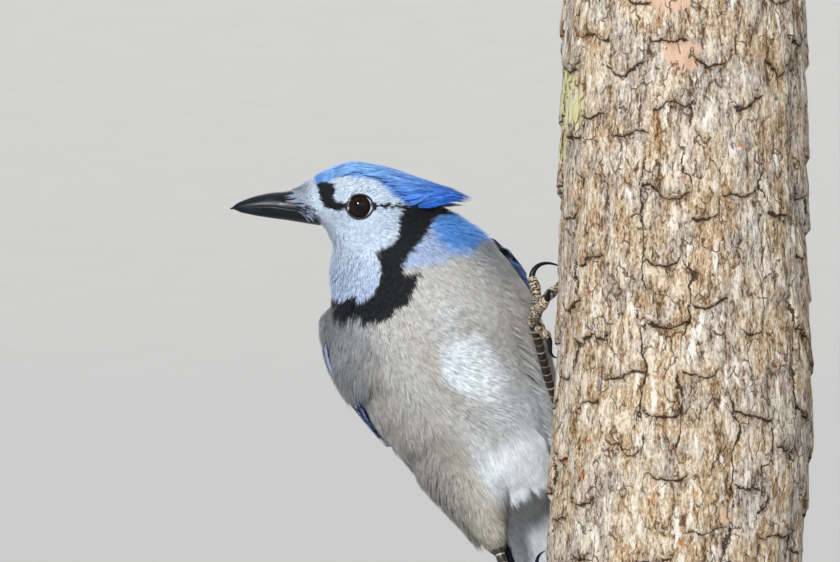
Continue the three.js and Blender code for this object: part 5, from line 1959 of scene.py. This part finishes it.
class BLUEJAY_OT_perch(bpy.types.Operator):
    """The cut length of trunk, with its bark in relief and its sawn ends"""

    bl_idname = "bluejay.perch"
    bl_label = "Perch"

    def execute(self, context):
        low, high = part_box("perch_trunk")
        settings = {"vertices": 330, "radius": 1, "depth": high.z - low.z, "end_fill_type": "NGON"}
        add = bpy.ops.mesh.primitive_cylinder_add
        trunk = primitive(add, location=(0, 0, (low.z + high.z) / 2), **settings)
        settle(trunk, "trunk_bark")
        bpy.ops.object.mode_set(mode="EDIT")
        bpy.ops.mesh.select_all(action="DESELECT")
        bpy.ops.mesh.select_mode(type="EDGE")
        for edge in bmesh.from_edit_mesh(trunk.data).edges:
            edge.select_set(abs(edge.verts[0].co.z - edge.verts[1].co.z) > 0.1)
        bpy.ops.mesh.subdivide(number_cuts=284)
        select_faces(trunk, lambda face: abs(face.normal.z) > 0.9)
        bpy.ops.mesh.inset(thickness=0.085, use_individual=True)
        bpy.ops.object.material_slot_add()
        bpy.ops.object.material_slot_add()
        trunk.active_material_index = 1
        bpy.ops.object.material_slot_assign()
        bpy.ops.mesh.inset(thickness=0.3, use_individual=True)
        bpy.ops.object.mode_set(mode="OBJECT")
        self.shape(trunk, low.z / MM, high.z / MM)
        slots = [f.material_index for f in trunk.data.polygons]
        finish_piece(trunk, "bark", ["bark", "cut_wood"], ["perch_trunk"], angle=70)
        trunk.data.polygons.foreach_set("material_index", slots)
        return {"FINISHED"}

    def shape(self, trunk, low, high):
        """Moves a round trunk of radius 1 to the real one's outline and relief, flat where the claws grip."""
        x, y, z = places_of(trunk.data).T
        height = z / MM
        turn = np.arctan2(y, x)
        share = np.hypot(x, y)
        shift, radius = TRUNK(height)
        stand, fine, gaps, opened = bark_relief(turn / (2 * math.pi) % 1, height)
        core = columns(TRUNK_AXIS[0] + shift, TRUNK_AXIS[1] + 0 * shift, height)
        out = columns(np.cos(turn), np.sin(turn), 0 * turn)
        grips = np.array([on_trunk(*foot[toe][-1]) / MM for foot in FEET.values() for toe in TOES])
        near = core + radius[:, None] * out
        away = np.linalg.norm(near[:, None] - grips[None], axis=2).min(1)
        stand = stand * (1 - np.exp(-((away / GRIP_REACH) ** 2)))
        rim = ease(0.97, 1, share)
        worn = ease(0, 1.5, height - low) * ease(0, 1.5, high - height)
        reach = share * radius + (stand + sizes().bark_relief / MM * fine - 0.8 * (1 - worn)) * rim
        move_to(trunk.data, (core + reach[:, None] * out) * MM)
        paint(trunk.data, "gaps", np.stack(gaps, axis=1), "FLOAT_VECTOR")
        paint(trunk.data, "opened", np.stack(opened, axis=1), "FLOAT_VECTOR")


ROD_SHARE = 0.86  # how thin a rod is between its ends


class BLUEJAY_OT_stand(bpy.types.Operator):
    """The turned base and the two rods up to the trunk"""

    bl_idname = "bluejay.stand"
    bl_label = "Stand"

    def execute(self, context):
        self.base()
        for k in (1, 2):
            self.rod(k)
        return {"FINISHED"}

    def cylinder(self, node, name, vertices, thinner=1.0):
        """A cylinder in place of a node of the frame, in edit mode, with its middle."""
        low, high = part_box(node)
        centre = (low + high) / 2
        settings = {"vertices": vertices, "radius": (high.x - low.x) / 2 * thinner, "depth": high.z - low.z}
        obj = settle(primitive(bpy.ops.mesh.primitive_cylinder_add, location=centre, **settings), name)
        bpy.ops.object.mode_set(mode="EDIT")
        return obj, centre

    def base(self):
        """The base: a round plate with an eased edge, a turned groove on top, and a worn lower edge."""
        base, _ = self.cylinder("stand_base", "turned_base", 160)
        select_faces(base, lambda face: face.normal.z > 0.9)
        bpy.ops.mesh.bevel(offset=2.6 * MM, segments=6, affect="EDGES")
        select_faces(base, lambda face: face.normal.z > 0.99)
        bpy.ops.mesh.inset(thickness=4 * MM)
        bpy.ops.mesh.inset(thickness=1.2 * MM, depth=-0.8 * MM)
        bpy.ops.mesh.inset(thickness=1.2 * MM, depth=0.8 * MM)
        select_faces(base, lambda face: face.normal.z < -0.9)
        bpy.ops.mesh.bevel(offset=0.8 * MM, segments=3, affect="EDGES")
        bpy.ops.object.mode_set(mode="OBJECT")
        finish_piece(base, "stand_wood", ["stand_wood"], ["stand_base"], angle=35)

    def rod(self, k):
        """A rod, a little thinner than its node between its ends."""
        rod, centre = self.cylinder(f"stand_rod_{k}", f"rod_{k}", 64, ROD_SHARE)
        for end in (-1, 1):
            select_faces(rod, lambda face: face.normal.z * end > 0.9)
            bpy.ops.transform.resize(value=(1 / ROD_SHARE, 1 / ROD_SHARE, 1), center_override=centre)
        bpy.ops.object.mode_set(mode="OBJECT")
        finish_piece(rod, "stand_metal", ["stand_metal"], [f"stand_rod_{k}"], angle=35)


# Stage

VIEW_WIDTH = 0.3  # what the picture is wide at the bird
VIEW_AT = (-0.0686, 0.0, 0.2011)
VIEW_DISTANCE = 4.0
# Each light's direction, power, softness in degrees and colour
SUNS = {
    "key": ((-0.3, -0.88, 0.48), 3.25, 8, (1, 0.975, 0.935)),
    "fill": ((0.3, -1, 0.02), 1.15, 70, (0.9, 0.95, 1)),
    "back": ((0.1, 0.9, 0.8), 1.3, 40, (1, 1, 1)),
}


class BLUEJAY_OT_stage(bpy.types.Operator):
    """Pale floor, soft lights, and the camera at the photograph's viewing angle"""

    bl_idname = "bluejay.stage"
    bl_label = "Stage"

    def execute(self, context):
        self.floor()
        self.camera(context)
        for name, (towards, power, softness, shade) in SUNS.items():
            data = bpy.data.lights.new(name, "SUN")
            data.energy = power
            data.angle = math.radians(softness)
            data.color = shade
            light = bpy.data.objects.new(name, data)
            light.location = towards
            light.rotation_euler = Vector(towards).to_track_quat("Z", "Y").to_euler()
            context.scene.collection.objects.link(light)
        world = bpy.data.worlds.new("studio")
        world.use_nodes = True
        background = world.node_tree.nodes["Background"].inputs
        background["Color"].default_value = (0.88, 0.93, 1, 1)
        background["Strength"].default_value = 0.42
        context.scene.world = world
        context.scene.view_settings.view_transform = "Standard"
        return {"FINISHED"}

    def floor(self):
        """A floor that curves up on all sides, far behind every view of the model."""
        add = bpy.ops.mesh.primitive_grid_add
        floor = primitive(add, x_subdivisions=96, y_subdivisions=96, size=60, location=(0, 0, 0))
        places = places_of(floor.data)
        away = np.maximum(np.hypot(places[:, 0], places[:, 1]) - 14, 0)
        places[:, 2] = 0.012 * away**2
        move_to(floor.data, places)
        settle(floor, "floor")
        looks = Looks("pale_floor", roughness=0.9)
        soft, _ = looks.mottle((0.47, 0.465, 0.455), 9.0, 0.015)
        floor.data.materials.append(looks.finish(soft))
        bpy.ops.object.shade_smooth()
        floor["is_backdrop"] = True

    def camera(self, context):
        data = bpy.data.cameras.new("view")
        data.sensor_width = 36
        data.lens = data.sensor_width * VIEW_DISTANCE / VIEW_WIDTH
        camera = bpy.data.objects.new("view", data)
        camera.location = (VIEW_AT[0], VIEW_AT[1] - VIEW_DISTANCE, VIEW_AT[2])
        camera.rotation_euler = (math.pi / 2, 0, 0)
        context.scene.collection.objects.link(camera)
        context.scene.camera = camera


class BLUEJAY_PT_build(bpy.types.Panel):
    """Lists the pieces in the order they are made"""

    bl_label = "Blue Jay"
    bl_idname = "BLUEJAY_PT_build"
    bl_space_type = "VIEW_3D"
    bl_region_type = "UI"
    bl_category = "Blue Jay"

    def draw(self, context):
        for operator in OPERATORS:
            self.layout.operator(operator.bl_idname)
        for group in (context.scene.blue_jay_sizes, context.scene.blue_jay_colours):
            box = self.layout.box()
            for key in group.__annotations__:
                box.prop(group, key)


OPERATORS = (
    BLUEJAY_OT_stage,
    BLUEJAY_OT_skin,
    BLUEJAY_OT_coat,
    BLUEJAY_OT_crest,
    BLUEJAY_OT_wings,
    BLUEJAY_OT_tail,
    BLUEJAY_OT_flanks,
    BLUEJAY_OT_eyes,
    BLUEJAY_OT_bill,
    BLUEJAY_OT_legs,
    BLUEJAY_OT_perch,
    BLUEJAY_OT_stand,
)
CLASSES = (BlueJaySizes, BlueJayColours, *OPERATORS, BLUEJAY_PT_build)


def register():
    for cls in CLASSES:
        bpy.utils.register_class(cls)
    bpy.types.Scene.blue_jay_sizes = PointerProperty(type=BlueJaySizes)
    bpy.types.Scene.blue_jay_colours = PointerProperty(type=BlueJayColours)


def unregister():
    del bpy.types.Scene.blue_jay_colours
    del bpy.types.Scene.blue_jay_sizes
    for cls in reversed(CLASSES):
        bpy.utils.unregister_class(cls)


def main():
    register()
    for operator in OPERATORS:
        group, name = operator.bl_idname.split(".")
        getattr(getattr(bpy.ops, group), name)()
    boxes = {"cad": CAD_BOX, "visual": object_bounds()}
    {key: [list(corner) for corner in box] for key, box in boxes.items()}


if __name__ == "__main__":
    main()
